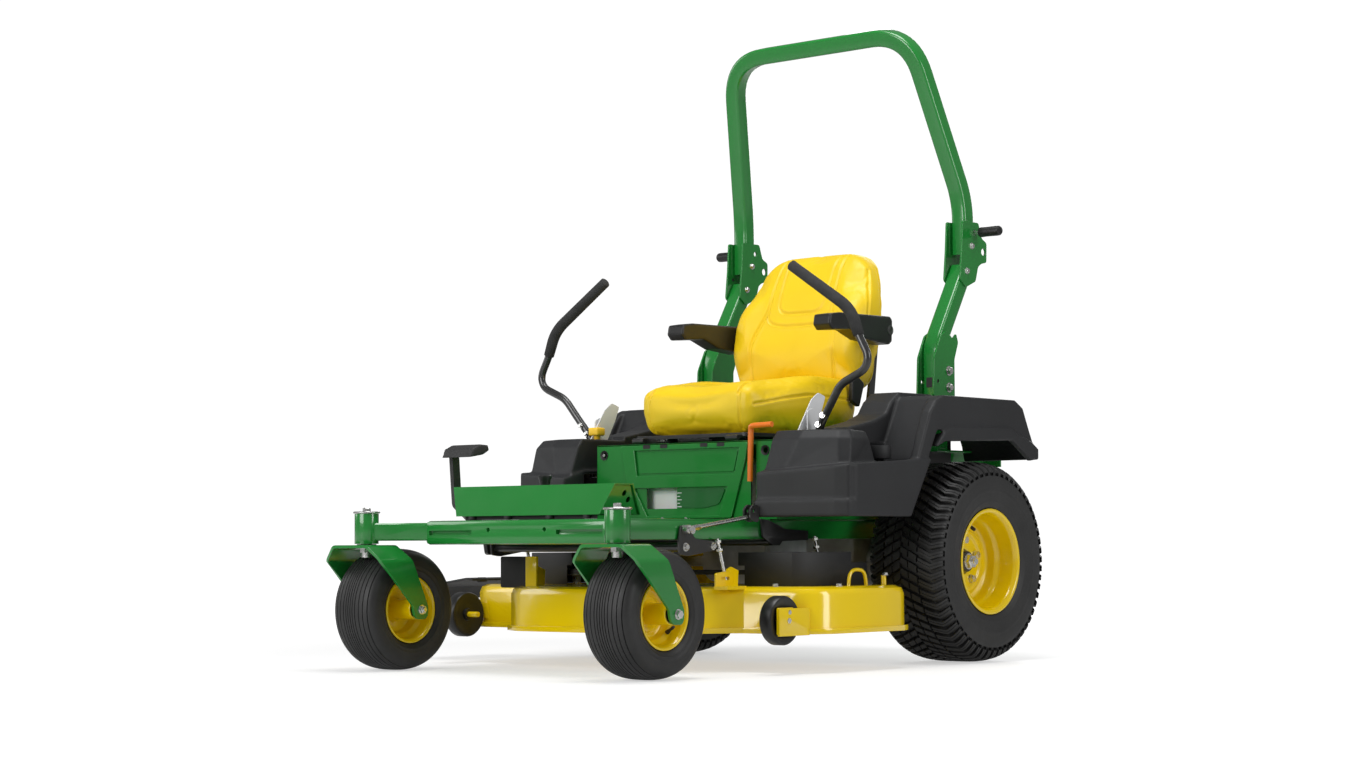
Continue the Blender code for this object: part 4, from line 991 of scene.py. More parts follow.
# ---- seat ---------------------------------------------------------------------------------------
def rounded_form(half, radius, cuts):
    """A box with fully rounded edges as an even grid, centred on zero."""
    work = bmesh.new()
    bmesh.ops.create_cube(work, size=2.0)
    bmesh.ops.subdivide_edges(work, edges=work.edges[:], cuts=cuts, use_grid_fill=True)
    core = [max(size - radius, 0.001) for size in half]
    for vert in work.verts:
        full = Vector(vert.co[i] * half[i] for i in range(3))
        inside = Vector(max(-core[i], min(core[i], full[i])) for i in range(3))
        out = full - inside
        if out.length > 1e-9:
            vert.co = inside + out.normalized() * radius
        else:
            vert.co = inside
    return work


def ease_step(value, low, high):
    """Smooth step from 0 to 1 between two values."""
    share = min(max((value - low) / (high - low), 0.0), 1.0)
    return share * share * (3 - 2 * share)


SEAT_CELLS = 26
CUSHION_HALF, CUSHION_ROUND = (0.232, 0.24, 0.067), 0.032
CUSHION_Y, CUSHION_Z = -0.292, 0.7125
BACK_HALF, BACK_ROUND, BACK_Z = (0.23, 0.062, 0.208), 0.042, 0.98
BACK_LEAN = [(0.76, -0.018), (0.86, -0.006), (0.98, 0.02), (1.08, 0.052), (1.19, 0.094)]
BACK_WIDTH = [(0.76, 0.2), (0.82, 0.222), (0.9, 0.236), (0.97, 0.236), (1.03, 0.226), (1.1, 0.206),
              (1.145, 0.186), (1.175, 0.16), (1.195, 0.118)]


def cushion_form():
    """Seat cushion before it is stuffed: raised sides, a dropped nose and a tucked-in underside."""
    work = rounded_form(CUSHION_HALF, CUSHION_ROUND, SEAT_CELLS)
    for vert in work.verts:
        x, y, z = vert.co
        across, along, up = abs(x) / CUSHION_HALF[0], y / CUSHION_HALF[1], z / CUSHION_HALF[2]
        top = max(up, 0.0)
        z += 0.02 * ease_step(across, 0.45, 0.8) * ease_step(along, -0.8, 0.2) * top
        z -= 0.01 * (1 - ease_step(across, 0.0, 0.7)) * top
        z -= 0.006 * ease_step(-along, 0.7, 1.0) * top
        tuck = 1.0 - 0.05 * max(-up, 0.0)
        narrow = 1.0 - 0.14 * ease_step(-along, 0.1, 1.0) - 0.03 * ease_step(along, 0.6, 1.0)
        vert.co = (x * tuck * narrow, y * tuck + CUSHION_Y, z + CUSHION_Z + 0.004 * along)
    return work


def back_form():
    """Backrest before it is stuffed: wings at elbow height, a narrow head and a hollow middle."""
    work = rounded_form(BACK_HALF, BACK_ROUND, SEAT_CELLS)
    for vert in work.verts:
        x, y, z = vert.co
        height = z + BACK_Z
        share = x / BACK_HALF[0]
        forward = max(-y / BACK_HALF[1], 0.0)
        sides = ease_step(abs(share), 0.5, 0.85)
        wing = sides * ease_step(height, 0.8, 0.9) * (1 - ease_step(height, 1.0, 1.1))
        depth = y - 0.03 * wing * forward + 0.008 * (1 - ease_step(abs(share), 0, 0.6)) * forward
        lumbar = math.exp(-((height - 0.88) / 0.07) ** 2)
        depth -= 0.016 * lumbar * forward * (1 - ease_step(abs(share), 0.5, 0.8))
        thin = 1.0 - 0.22 * ease_step(height, 1.02, 1.18)
        vert.co = (share * read_off(BACK_WIDTH, height), depth * thin + read_off(BACK_LEAN, height), height)
    return work


STUFFING_VOXEL = 0.0062
STUFFING_PRESSURE = 3.0
STUFFING_FRAMES = 16


def softened_mesh(work):
    """The padded form as an even mesh."""
    mesh = bpy.data.meshes.new("form")
    work.to_mesh(mesh)
    work.free()
    soft = softened(mesh, STUFFING_VOXEL, 2)
    made = bpy.data.meshes.new("form")
    soft.to_mesh(made)
    soft.free()
    return made


def stuffed(work, cap):
    """Remesh a padded form and blow it up as cloth, with a cap on how far a point moves."""
    base = softened_mesh(work)
    item = bpy.data.objects.new("stuffing", base)
    bpy.context.collection.objects.link(item)
    rest = [vert.co.copy() for vert in base.vertices]
    cloth = item.modifiers.new("cloth", "CLOTH")
    cloth.settings.quality = 4
    cloth.settings.mass = 0.4
    cloth.settings.tension_stiffness = 18
    cloth.settings.compression_stiffness = 18
    cloth.settings.bending_stiffness = 1.2
    cloth.settings.use_pressure = True
    cloth.settings.uniform_pressure_force = STUFFING_PRESSURE
    cloth.settings.effector_weights.gravity = 0.0
    cloth.collision_settings.use_self_collision = False
    cloth.point_cache.frame_start = 1
    cloth.point_cache.frame_end = STUFFING_FRAMES
    scene = bpy.context.scene
    for number in range(1, STUFFING_FRAMES + 1):
        scene.frame_set(number)
    made = evaluated_mesh(item)
    bpy.data.objects.remove(item)
    scene.frame_set(1)
    for vert, start in zip(made.vertices, rest):
        move = vert.co - start
        if move.length > cap:
            vert.co = start + move.normalized() * cap
    return made


def seam_points(points, spacing=0.0015, reach=0.025):
    """Even points along a rounded line."""
    line = eased(points, reach, 6)
    result = []
    for first, second in zip(line, line[1:]):
        steps = max(int((second - first).length / spacing), 1)
        result += [first.lerp(second, step / steps) for step in range(steps)]
    return result + [line[-1]]


FRONT_WAY, TOP_WAY, SIDE_WAYS = (0, -1, 0), (0, 0, 1), ((1, 0, 0), (-1, 0, 0))
SEAM_WIDTH, SEAM_DEPTH, SIDE_SEAM_DEPTH = 0.0034, 0.0042, 0.0036
STITCH_OFFSET, STITCH_PITCH, STITCH_SIZE = 0.006, 0.0052, 0.0007


def sew(work, seams, facing, depth):
    """Press seams into the faces that look along facing; seams are points seen from there."""
    flat = [abs(part) > 0.5 for part in facing].index(True)
    points = [Vector(point) for seam in seams for point in seam]
    tree = KDTree(len(points))
    for index, spot in enumerate(points):
        spot[flat] = 0.0
        tree.insert(spot, index)
    tree.balance()
    work.normal_update()
    moves = []
    for vert in work.verts:
        if vert.normal.dot(Vector(facing)) < 0.25:
            continue
        spot = vert.co.copy()
        spot[flat] = 0.0
        distance = tree.find(spot)[2]
        if distance < SEAM_WIDTH * 4:
            dent = depth * math.exp(-(distance / SEAM_WIDTH) ** 2)
            puff = 0.0007 * math.exp(-((distance - SEAM_WIDTH * 2.4) / (SEAM_WIDTH * 1.1)) ** 2)
            moves.append((vert, vert.normal * (puff - dent)))
    for vert, move in moves:
        vert.co += move


def surface_hits(work, seam, facing):
    """The seam's points laid on the surface that looks along facing, with the surface's normals."""
    tree = BVHTree.FromBMesh(work)
    way = Vector(facing)
    hits = [tree.ray_cast(Vector(point) + way * 0.6, -way)[:2] for point in seam]
    return [(spot, normal) for spot, normal in hits if spot is not None]


def stitches(target, work, seam, facing):
    """A row of thread stitches along one side of a seam."""
    shifted = []
    for index, point in enumerate(seam):
        before = seam[max(index - 1, 0)]
        after = seam[min(index + 1, len(seam) - 1)]
        along = (Vector(after) - Vector(before)).normalized()
        shifted.append(Vector(point) + along.cross(Vector(facing)) * STITCH_OFFSET)
    travelled = 0.0
    last = None
    start = None
    for spot, normal in surface_hits(work, shifted, facing):
        if last is not None:
            step = (spot - last).length
            if step > 0.02:
                travelled, start = 0.0, None
            travelled += step
        if start is None:
            start = spot
        if travelled >= STITCH_PITCH:
            middle_point = (start + spot) / 2 + normal * STITCH_SIZE * 0.9
            pipe(target, [start.lerp(spot, 0.14), middle_point, start.lerp(spot, 0.8)], STITCH_SIZE, 5)
            travelled, start = 0.0, spot
        last = spot


def sewn(work, threads, rows):
    """Press every row of seams into a padded piece, then stitch beside them."""
    for seams, way, depth in rows:
        sew(work, seams, way, depth)
    for seams, way, _ in rows:
        for seam in seams:
            stitches(threads, work, seam, way)


def detailed(mesh):
    """One subdivision of a mesh, opened for editing."""
    item = bpy.data.objects.new("step", mesh)
    bpy.context.collection.objects.link(item)
    finer = item.modifiers.new("finer", "SUBSURF")
    finer.levels = finer.render_levels = 1
    made = evaluated_mesh(item)
    bpy.data.objects.remove(item)
    return reopened(made)


def both_sides(points):
    """A line on the machine's left and its mirror on the right."""
    return [points, [(-x, y, z) for x, y, z in points]]


def flank(seams, way):
    """Seams drawn on the left side, moved to the side that way names."""
    return [[Vector((way[0] * p.x, p.y, p.z)) for p in seam] for seam in seams]


def build_cushion(threads):
    cushion = detailed(stuffed(cushion_form(), 0.006))
    for vert in cushion.verts:
        x, y, z = vert.co
        if z < 0.672:
            fold = noise.noise(Vector((x * 26, y * 26, z * 10)))
            vert.co += vert.normal * 0.0035 * fold * (1 - ease_step(z, 0.64, 0.672))
            vert.co.z = max(vert.co.z, 0.6375)
    front = both_sides([(0.16, -0.5, 0.65), (0.166, -0.5, 0.7), (0.16, -0.5, 0.785)])
    top = both_sides([(0.16, -0.545, 0.8), (0.158, -0.46, 0.8), (0.15, -0.3, 0.8), (0.15, -0.06, 0.8)])
    top.append([(-0.158, -0.47, 0.8), (0, -0.482, 0.8), (0.158, -0.47, 0.8)])
    side = [seam_points([(0.24, -0.505, 0.716), (0.24, -0.4, 0.735), (0.24, -0.3, 0.748),
                         (0.24, -0.06, 0.738)])]
    sewn(cushion, threads, [([seam_points(line) for line in front], FRONT_WAY, SEAM_DEPTH),
                            ([seam_points(line) for line in top], TOP_WAY, SEAM_DEPTH)]
         + [(flank(side, way), way, SIDE_SEAM_DEPTH) for way in SIDE_WAYS])
    piece = finish_piece("cushion", cushion, "yellow_vinyl", "seat", ["seat_cushion"], smooth=80)


def build_backrest(threads):
    back = detailed(stuffed(back_form(), 0.008))
    bolster = both_sides([(0.15, 0, 0.79), (0.152, 0, 0.93), (0.118, 0, 1.02), (0.112, 0, 1.18)])
    front = [seam_points(line) for line in bolster]
    front.append(seam_points([(-0.117, 0, 1.03), (-0.112, 0, 0.985), (-0.06, 0, 0.972), (0.06, 0, 0.972),
                              (0.112, 0, 0.985), (0.117, 0, 1.03)], reach=0.035))
    front.append(seam_points([(-0.088, 0, 1.185), (-0.084, 0, 1.01), (0.084, 0, 1.01), (0.088, 0, 1.185)],
                             reach=0.04))
    wing = seam_points([(0.3, -0.045, 0.86), (0.3, -0.03, 0.96), (0.3, 0.0, 1.04), (0.3, 0.045, 1.13)])
    piping = seam_points([(0.3, 0.012, 0.8), (0.3, 0.03, 0.92), (0.3, 0.052, 1.02), (0.3, 0.088, 1.14)])
    sewn(back, threads, [(front, FRONT_WAY, SEAM_DEPTH)]
         + [(flank([wing, piping], way), way, SIDE_SEAM_DEPTH) for way in SIDE_WAYS])
    piece = finish_piece("backrest", back, "yellow_vinyl", "seat", ["seat_back"], smooth=80)


def build_seat():
    threads = bmesh.new()
    build_cushion(threads)
    build_backrest(threads)
    finish_piece("seat_stitching", threads, "stitch", "seat", smooth=60)


def build_armrests():
    side = [(-0.292, 0.946), (-0.286, 0.974), (-0.24, 0.981), (0.002, 0.984), (0.012, 0.975), (0.01, 0.912),
            (-0.004, 0.902), (-0.12, 0.912), (-0.19, 0.936), (-0.276, 0.93)]
    arm = prism(side, "X", 0.2395, 0.3)
    pad = softened(combined([arm]), 0.0035, 6, 0.6)
    finish_pair("arm_pad", pad, "smooth_plastic", "arm", ["armrest"], smooth=70)
    pivot = bmesh.new()
    turned(pivot, (0.2995, -0.002, 0.944), (1, 0, 0), [(0, 0.015), (0.0012, 0.015), (0.0018, 0.012),
                                                       (0.001, 0.0105)], 28)
    finish_pair("arm_pivot", pivot, "black_paint", "arm")


# ---- steering levers ----------------------------------------------------------------------------
def build_levers():
    low_path = eased([(0.4, -0.49, 0.553), (0.404, -0.492, 0.6), (0.42, -0.498, 0.649), (0.452, -0.505, 0.69),
                      (0.501, -0.514, 0.756), (0.584, -0.516, 0.792), (0.597, -0.516, 0.826),
                      (0.563, -0.516, 0.888), (0.536, -0.516, 0.958), (0.345, -0.516, 1.085)], 0.022, 8)
    bar = bmesh.new()
    pipe(bar, low_path, 0.011, 20)
    finish_pair("lever_bar", bar, "black_paint", "stick", ["lever"], smooth=40)
    grip_path = eased([(0.5655, -0.516, 0.884), (0.538, -0.516, 0.957), (0.339, -0.516, 1.089)], 0.04, 12)
    grip = bmesh.new()
    path = [Vector(point) for point in grip_path]
    rings = []
    for index, point in enumerate(path):
        before, after = path[max(index - 1, 0)], path[min(index + 1, len(path) - 1)]
        along = (after - before).normalized()
        side = Vector((0, 1, 0))
        other = along.cross(side)
        radius = 0.016
        ends = (0.012, 0.015) if index == 0 else (0.015, 0.012) if index == len(path) - 1 else (radius,)
        shift = (0.0, 0.0025) if index == 0 else (-0.0025, 0.0) if index == len(path) - 1 else (0.0,)
        for size, move in zip(ends, shift):
            centre = point + along * move
            rings.append([centre + (side * math.cos(a) + other * math.sin(a)) * size
                          for a in (2 * math.pi * step / 28 for step in range(28))])
    loft(grip, rings)
    finish_pair("lever_grip", grip, "foam", "stick", smooth=50)
    bracket = bmesh.new()
    plate(bracket, [(-0.512, 0.57), (-0.47, 0.57), (-0.468, 0.64), (-0.486, 0.7), (-0.512, 0.69)], "X",
          0.385, 0.3885, round_corners=0.008)
    guide = [(-0.566, 0.6), (-0.49, 0.6), (-0.436, 0.69), (-0.418, 0.732), (-0.45, 0.742), (-0.48, 0.722)]
    plate(bracket, guide, "X", 0.375, 0.3785, round_corners=0.006)
    finish_pair("lever_guide", bracket, "white_plate", BOTH_CHASSIS, smooth=30, bevel=0.0008)
    bolts = bmesh.new()
    for point in ((0.4215, -0.51, 0.652), (0.44, -0.514, 0.676)):
        bolt(bolts, point, (0.25, -0.96, 0.1), 0.011)
    finish_pair("lever_bolts", bolts, "zinc", "stick", smooth=30)


# ---- roll bar -----------------------------------------------------------------------------------
def tube_section(width, corner, steps=4):
    """A square section with round corners, as (across, up) points."""
    half = width / 2
    points = []
    for quarter in range(4):
        turn = quarter * math.pi / 2
        centre = Vector((half - corner, half - corner))
        for step in range(steps + 1):
            angle = math.pi / 2 * step / steps
            local = centre + Vector((math.cos(angle), math.sin(angle))) * corner
            points.append((local.x * math.cos(turn) - local.y * math.sin(turn),
                           local.x * math.sin(turn) + local.y * math.cos(turn)))
    return points


def build_hoop():
    left = [(0.41, 0.212, 1.17), (0.41, 0.212, 1.33), (0.33, 0.065, 1.815)]
    corners = [Vector(point) for point in left] + [Vector((-x, y, z)) for x, y, z in reversed(left)]
    path = [corners[0]]
    for index, reach in ((1, 0.06), (2, 0.125), (3, 0.125), (4, 0.06)):
        path += eased(corners[index - 1:index + 2], reach, 12)[1:-1]
    path.append(corners[-1])
    hoop = bmesh.new()
    pipe(hoop, path, 0, section=tube_section(0.0492, 0.0085), facing=(0, -1, 0))
    finish_piece("roll_hoop", hoop, "green_paint", "roll_bar", ["rops_hoop"], smooth=40)


# ---- roll bar posts -----------------------------------------------------------------------------
def build_posts():
    work = bmesh.new()
    path = eased([(0.41, 0.06, 0.6), (0.41, 0.06, 0.893), (0.41, 0.205, 1.128)], 0.035, 8)
    pipe(work, path, 0, section=tube_section(0.05, 0.0085), facing=(1, 0, 0))
    box(work, (0.285, 0.0352, 0.592), (0.4348, 0.0848, 0.64))
    box(work, (0.285, 0.035, 0.4022), (0.3175, 0.085, 0.61))
    base = [(0.01, 0.75), (0.118, 0.75), (0.118, 0.858), (0.138, 0.908), (0.128, 0.934), (0.11, 0.918),
            (0.08, 0.94), (0.05, 0.925), (0.016, 0.86)]
    upper = [(0.152, 1.094), (0.182, 1.072), (0.232, 1.092), (0.246, 1.136), (0.262, 1.146), (0.29, 1.152),
             (0.292, 1.21), (0.266, 1.222), (0.25, 1.266), (0.168, 1.266), (0.162, 1.18)]
    for low, high in ((0.3795, 0.3852), (0.4348, 0.4405)):
        plate(work, base, "X", low, high, [circle((0.034, 0.792), 0.0055)], round_corners=0.006)
        plate(work, upper, "X", low, high, [circle((0.23, 1.235), 0.0072), circle((0.274, 1.182), 0.0105)],
              round_corners=0.007)
    finish_pair("roll_post", work, "green_paint", BOTH_CHASSIS, ["rops_post"], smooth=35, bevel=0.001)
    bolts = bmesh.new()
    for point in ((0.4405, 0.088, 0.776), (0.4405, 0.088, 0.824)):
        bolt(bolts, point, (1, 0, 0), 0.019)
    for point in ((0.4405, 0.212, 1.195), (0.4405, 0.186, 1.12)):
        bolt(bolts, point, (1, 0, 0), 0.013)
        bolt(bolts, (0.3795, *point[1:]), (-1, 0, 0), 0.013)
    finish_pair("roll_post_bolts", bolts, "zinc", BOTH_CHASSIS, smooth=30)
    caps = bmesh.new()
    for y, z in ((0.034, 0.792), (0.186, 1.155)):
        rod(caps, (0.4345, y, z), (0.4385, y, z), 0.0052, 16)
    box(caps, (0.3995, 0.0335, 0.776), (0.4205, 0.0349, 0.804))
    finish_pair("roll_post_plugs", caps, "matt_black", BOTH_CHASSIS, smooth=30)
    pin = bmesh.new()
    rod(pin, (0.437, 0.23, 1.235), (0.456, 0.23, 1.235), 0.006, 20)
    finish_pair("lock_pin_stem", pin, "zinc", "lock_pin", smooth=30)
    knob = bmesh.new()
    turned(knob, (0.4558, 0.23, 1.235), (1, 0, 0), [(0, 0.009), (0.003, 0.0135), (0.008, 0.015),
                                                     (0.024, 0.0142), (0.06, 0.0148), (0.07, 0.014),
                                                     (0.0742, 0.0105)], 28)
    finish_pair("lock_pin_grip", knob, "smooth_plastic", "lock_pin", ["rops_pin"], smooth=35)


# ---- seat base ----------------------------------------------------------------------------------
TOWER_FRONT = -0.585


def build_tower():
    low_x, high_x, low_z, high_z = -0.312, 0.338, 0.3975, 0.612
    back_y, sheet_metal = -0.12, 0.004
    work = bmesh.new()
    window = [(-0.125, 0.43), (-0.014, 0.43), (-0.014, 0.487), (-0.125, 0.487)]
    sheet = [(low_x, low_z), (high_x, low_z), (high_x, high_z), (low_x, high_z)]
    holes = [window, circle((-0.284, 0.584), 0.011), circle((0.3, 0.584), 0.011),
             [(0.25, 0.43), (0.268, 0.43), (0.268, 0.6), (0.25, 0.6)]]
    inner_y = TOWER_FRONT + sheet_metal
    plate(work, sheet, "Y", TOWER_FRONT, inner_y, holes)
    box(work, (low_x, inner_y, low_z), (low_x + sheet_metal, back_y, high_z))
    box(work, (high_x - sheet_metal, inner_y, low_z), (high_x, back_y, high_z))
    box(work, (low_x, back_y - sheet_metal, low_z), (high_x, back_y, high_z))
    box(work, (low_x, TOWER_FRONT, high_z - sheet_metal), (high_x, back_y, high_z))
    finish_piece("tower_box", work, "green_paint", "chassis", ["seat_tower"], smooth=30, bevel=0.0014)
    face = bmesh.new()
    label = [(-0.165, 0.594), (0.215, 0.594), (0.196, 0.523), (-0.155, 0.523)]
    lower = [(-0.165, 0.488), (0.172, 0.488), (0.142, 0.41), (-0.118, 0.41)]
    panel = [(-0.215, 0.608), (0.244, 0.608), (0.236, 0.56), (0.186, 0.402), (-0.15, 0.402), (-0.196, 0.5)]
    notches = [(-0.118, 0.013), (-0.055, 0.013), (0.09, 0.013), (0.15, 0.013)]
    plate(face, panel, "Y", TOWER_FRONT - 0.0075, TOWER_FRONT - 0.0003, [label, lower], round_corners=0.006)
    finish_piece("tower_panel", face, "green_paint", "chassis", smooth=30, bevel=0.0022, segments=3)
    band = bmesh.new()
    plate(band, inset(label, 0.006), "Y", TOWER_FRONT - 0.003, TOWER_FRONT - 0.0003, round_corners=0.004)
    finish_piece("tower_band", band, "green_paint", "chassis", smooth=30, bevel=0.001)
    dark = bmesh.new()
    for across, half in notches:
        box(dark, (across - half, TOWER_FRONT - 0.0085, 0.5985), (across + half, TOWER_FRONT - 0.007, 0.6088))
    box(dark, (0.2495, TOWER_FRONT - 0.0006, 0.428), (0.2505, TOWER_FRONT + 0.003, 0.602))
    for across in (-0.284, 0.3):
        turned(dark, (across, TOWER_FRONT + 0.001, 0.584), (0, -1, 0),
               [(0, 0.0075), (0.003, 0.0118), (0.0034, 0.014), (0, 0.014)], 28, closed=True)
    finish_piece("tower_trim", dark, "matt_black", "chassis", smooth=30)
    gauge = bmesh.new()
    outline = [(-0.012, 0.484), (0.162, 0.484), (0.14, 0.44), (0.085, 0.43), (-0.012, 0.432)]
    plate(gauge, outline, "Y", TOWER_FRONT - 0.0032, TOWER_FRONT - 0.0003, round_corners=0.012)
    finish_piece("gauge_plate", gauge, "gauge", "chassis", smooth=30, bevel=0.0008)
    ticks = bmesh.new()
    for index in range(5):
        level = 0.434 + 0.0095 * index
        reach = 0.016 if index % 2 == 0 else 0.01
        box(ticks, (-0.01, TOWER_FRONT - 0.0036, level), (-0.01 + reach, TOWER_FRONT - 0.0029, level + 0.002))
    finish_piece("gauge_ticks", ticks, "white_plate", "chassis", smooth=30)
    screws = bmesh.new()
    for across in (-0.062, 0.024):
        bolt(screws, (across, TOWER_FRONT - 0.0005, 0.4005), (0, -1, 0), 0.013)
    bolt(screws, (-0.284, TOWER_FRONT + 0.0005, 0.584), (0, -1, 0), 0.009, washer=False)
    finish_piece("tower_screws", screws, "zinc", "chassis", smooth=30)
    handle = bmesh.new()
    line = eased([(0.259, -0.6, 0.5), (0.264, -0.602, 0.64), (0.268, -0.606, 0.65), (0.34, -0.606, 0.652)],
                 0.014, 8)
    pipe(handle, line, 0.0078, 20)
    finish_piece("brake_lever", handle, "orange_paint", "brake", ["brake_handle"], smooth=45)


def build_seat_frame():
    work = bmesh.new()
    plate(work, [(-0.205, -0.545), (0.205, -0.545), (0.205, -0.02), (-0.205, -0.02)], "Z", 0.626, 0.6365,
          round_corners=0.02)
    for side in (-1, 1):
        low, high = sorted((side * 0.15, side * 0.158))
        plate(work, [(-0.1, 0.63), (0.05, 0.63), (0.105, 0.7), (0.14, 0.95), (0.122, 0.95), (0.075, 0.72),
                     (0.03, 0.645), (-0.1, 0.645)], "X", low, high, round_corners=0.006)
        rod(work, (side * 0.15, -0.566, 0.622), (side * 0.19, -0.566, 0.622), 0.008, 20)
        low, high = sorted((side * 0.152, side * 0.188))
        box(work, (low, -0.566, 0.6215), (high, -0.53, 0.63))
        low, high = sorted((side * 0.118, side * 0.134))
        box(work, (low, -0.5, 0.614), (high, -0.1, 0.6262))
    finish_piece("seat_frame", work, "black_paint", "seat", ["seat_pan"], smooth=30, bevel=0.0008)
    coils = bmesh.new()
    turns, steps_a_turn = 16, 10
    for start, end in ((-0.2, -0.075), (-0.04, 0.075)):
        points = []
        for step in range(turns * steps_a_turn + 1):
            share = step / (turns * steps_a_turn)
            angle = 2 * math.pi * turns * share
            points.append((start + (end - start) * share, -0.546 + 0.0052 * math.cos(angle),
                           0.6205 + 0.0052 * math.sin(angle)))
        pipe(coils, points, 0.0011, 6)
    finish_piece("seat_springs", coils, "black_paint", "seat", smooth=50)
    buckle = bmesh.new()
    plate(buckle, [(-0.12, 0.735), (-0.085, 0.72), (-0.06, 0.79), (-0.096, 0.812), (-0.118, 0.8)], "X",
          0.236, 0.25, round_corners=0.008)
    finish_piece("belt_buckle", buckle, "smooth_plastic", "seat", smooth=35, bevel=0.003, segments=3)
    button = bmesh.new()
    plate(button, [(-0.112, 0.8), (-0.094, 0.809), (-0.099, 0.82), (-0.116, 0.812)], "X", 0.238, 0.248,
          round_corners=0.002)
    finish_piece("belt_button", button, "red_button", "seat", smooth=35, bevel=0.001)
    adjuster = bmesh.new()
    pipe(adjuster, eased([(-0.215, -0.085, 0.775), (-0.25, -0.105, 0.8), (-0.29, -0.15, 0.8),
                          (-0.3, -0.185, 0.785)], 0.03, 8), 0.0075, 16)
    finish_piece("seat_adjuster", adjuster, "smooth_plastic", "seat", smooth=45)


# ---- foot guard, pedal and height dial ----------------------------------------------------------
def build_guard():
    work = bmesh.new()
    section = [(-1.205, 0.4075), (-1.182, 0.486), (-1.111, 0.486), (-1.045, 0.4075), (-1.05, 0.4075),
               (-1.1135, 0.4825), (-1.1795, 0.4825), (-1.2005, 0.4075)]
    ends = [(-0.252, 0.4), (-0.29, 0.49), (0.29, 0.49), (0.252, 0.4)]
    mesh = combined([prism(section, "X", -0.3, 0.3)], keep=[prism(ends, "Y", -1.3, -1.0)])
    work.from_mesh(mesh)
    for side in (-1, 1):
        side_plate = bmesh.new()
        holes = [circle(spot, 0.0075) for spot in ((-1.128, 0.462), (-1.106, 0.446), (-1.116, 0.422))]
        plate(side_plate, [(-1.198, 0.408), (-1.176, 0.482), (-1.114, 0.482), (-1.052, 0.408)], "X", 0.0,
              0.003, holes)
        lean = (0.282 - 0.25) / (0.482 - 0.408)
        for vert in side_plate.verts:
            vert.co.x = side * (vert.co.x + 0.246 + (vert.co.z - 0.408) * lean)
        moved = bpy.data.meshes.new("step")
        side_plate.to_mesh(moved)
        side_plate.free()
        work.from_mesh(moved)
    finish_piece("guard", work, "green_paint", "chassis", ["foot_guard"], smooth=30, bevel=0.0012)
    spacers = bmesh.new()
    for across in (-0.205, -0.075, 0.075, 0.205):
        turned(spacers, (across, -1.1935, 0.3972), (0, 0, 1),
               [(0, 0.01), (0.0012, 0.0115), (0.0102, 0.0115)], 24)
    box(spacers, (-0.235, -1.1905, 0.3972), (0.235, -1.1885, 0.412))
    finish_piece("guard_spacers", spacers, "rubber", "chassis", smooth=30)


